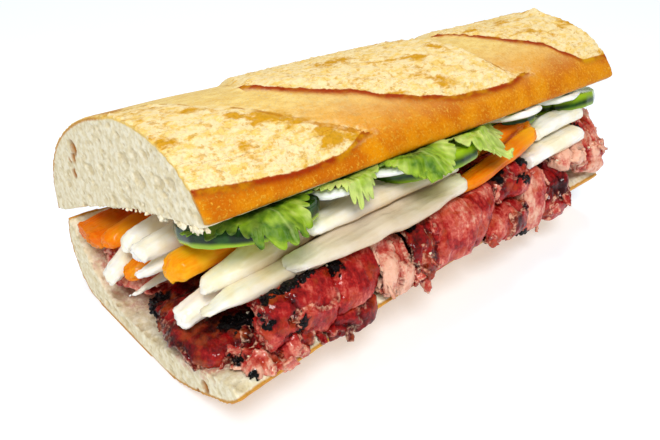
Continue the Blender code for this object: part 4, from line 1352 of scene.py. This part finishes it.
def makeCrumbs():
    # crumbs clinging to the cut edges of the bread, and a few that have dropped on the slices
    chance = random.Random(crumbs["seed"])
    parts = []
    for index in range(crumbs["edge"]):
        along = chance.uniform(0.0, 1.0)
        if index % 4:
            share, x = chance.uniform(0.30, 0.97), abs(chance.gauss(0.0, 2.2))
            place = topSplit(x, share) + Vector((0.0, 0.0, 0.05))
        else:
            place = topSplit(along * loaf["length"], 0.96) + Vector((0.0, 0.3, 0.1))
        parts.append(lumpyBall(chance, place, chance.uniform(*crumbs["size"]), 2, 0.7))
    for _ in range(crumbs["tufts"]):
        place = topSplit(abs(chance.gauss(0.0, 0.8)), 1.0 - abs(chance.gauss(0.0, 0.11)))
        tuft = lumpyBall(chance, Vector(), chance.uniform(*crumbs["tuftSize"]), 2, 1.3)
        bmesh.ops.scale(tuft, vec=(0.7, chance.uniform(0.6, 1.6), chance.uniform(0.8, 1.8)),
                        verts=tuft.verts)
        bmesh.ops.translate(tuft, vec=place + Vector((0.0, 0.0, -0.3)), verts=tuft.verts)
        parts.append(tuft)
    for _ in range(crumbs["loose"]):
        place, normal, _, _ = chance.choice(hems)
        parts.append(lumpyBall(chance, place + normal * 0.1,
                               chance.uniform(*crumbs["size"]) * 0.7, 2, 0.7))
    finishPiece("breadCrumbs", joined(parts), crumbMaterial, "bread_top")


def makeCharMaterial():
    material, tree, shader, place = newMaterial("charredGlaze", **{
        "Roughness": 0.5, "Specular IOR Level": 0.15, "Coat Weight": 0.15, "Coat Roughness": 0.1})
    shade, _ = mottle(tree, place, 0.0012, tint(3, 2, 4), tint(34, 10, 8), 0.4, 0.75)
    tree.links.new(shade, shader.inputs["Base Color"])
    bumped(tree, shader, grain(tree, place, 0.0005, 0.5, 0.4), 0.5, 0.0003)
    return material


def makeCrumbMaterial():
    material, tree, shader, place = newMaterial("looseCrumb", **{"Roughness": 0.85})
    shade, _ = mottle(tree, place, 0.0012, breadColours["crumb"], breadColours["crumbLight"])
    tree.links.new(shade, shader.inputs["Base Color"])
    bumped(tree, shader, grain(tree, place, 0.0005, 0.5, 0.4), 0.5, 0.0003)
    return material


charMaterial = makeCharMaterial()
crumbMaterial = makeCrumbMaterial()
makeShreds()
makeBeads()
makeCrumbs()
print("shreds, beads and crumbs made")


# Camera, floor and lights -----------------------------------------------------------------------

view = {"azimuth": 39.243, "elevation": 30.476, "place": (-60.67, -185.50, 125.20),
        "focal": 800.0 / 660.0 * 36.0, "sensor": 36.0}


def makeCamera():
    turn, tilt = math.radians(view["azimuth"]), math.radians(view["elevation"])
    ahead = Vector((math.cos(tilt) * math.sin(turn), math.cos(tilt) * math.cos(turn),
                    -math.sin(tilt)))
    right = Vector((math.cos(turn), -math.sin(turn), 0.0))
    lens = bpy.data.cameras.new("camera")
    lens.sensor_width, lens.lens, lens.clip_start = view["sensor"], view["focal"], 0.005
    camera = bpy.data.objects.new("camera", lens)
    bpy.context.scene.collection.objects.link(camera)
    place = Matrix((right, right.cross(ahead), -ahead)).transposed().to_4x4()
    place.translation = Vector(view["place"]) * mm + loafOrigin
    camera.matrix_world = place
    bpy.context.scene.camera = camera


studio = {"floor": 3.0, "ambient": 0.31, "glow": 0.42,
          "lamps": (("key", (-0.32, -0.42, 0.60), 0.26, 4.2), ("top", (0.10, 0.15, 0.8), 0.4, 2.3))}


def makeStudio():
    bm = bmesh.new()
    bmesh.ops.create_grid(bm, x_segments=1, y_segments=1, size=studio["floor"])
    mesh = bpy.data.meshes.new("floor")
    bm.to_mesh(mesh)
    bm.free()
    material, tree, shader, place = newMaterial("paleFloor", **{"Roughness": 0.9})
    colour, _ = mottle(tree, place, 0.5, (0.64, 0.70, 0.77, 1.0), (0.65, 0.71, 0.78, 1.0))
    tree.links.new(colour, shader.inputs["Base Color"])
    shader.inputs["Emission Color"].default_value = (1.0, 1.0, 1.0, 1.0)
    shader.inputs["Emission Strength"].default_value = studio["glow"]
    mesh.materials.append(material)
    floor = bpy.data.objects.new("floor", mesh)
    bpy.context.scene.collection.objects.link(floor)
    world = bpy.data.worlds.new("studio")
    bpy.context.scene.world = world
    world.use_nodes = True
    backdrop = world.node_tree.nodes["Background"]
    backdrop.inputs["Color"].default_value = (1.0, 1.0, 1.0, 1.0)
    backdrop.inputs["Strength"].default_value = studio["ambient"]
    for name, place, size, power in studio["lamps"]:
        lamp = bpy.data.lights.new(name, "AREA")
        lamp.shape, lamp.size, lamp.energy = "DISK", size, power
        obj = bpy.data.objects.new(name, lamp)
        obj.location = place
        obj.rotation_euler = (-Vector(place)).to_track_quat("-Z", "Y").to_euler()
        bpy.context.scene.collection.objects.link(obj)
    bpy.context.scene.view_settings.view_transform = "Standard"


makeCamera()
makeStudio()
print("camera and studio made")
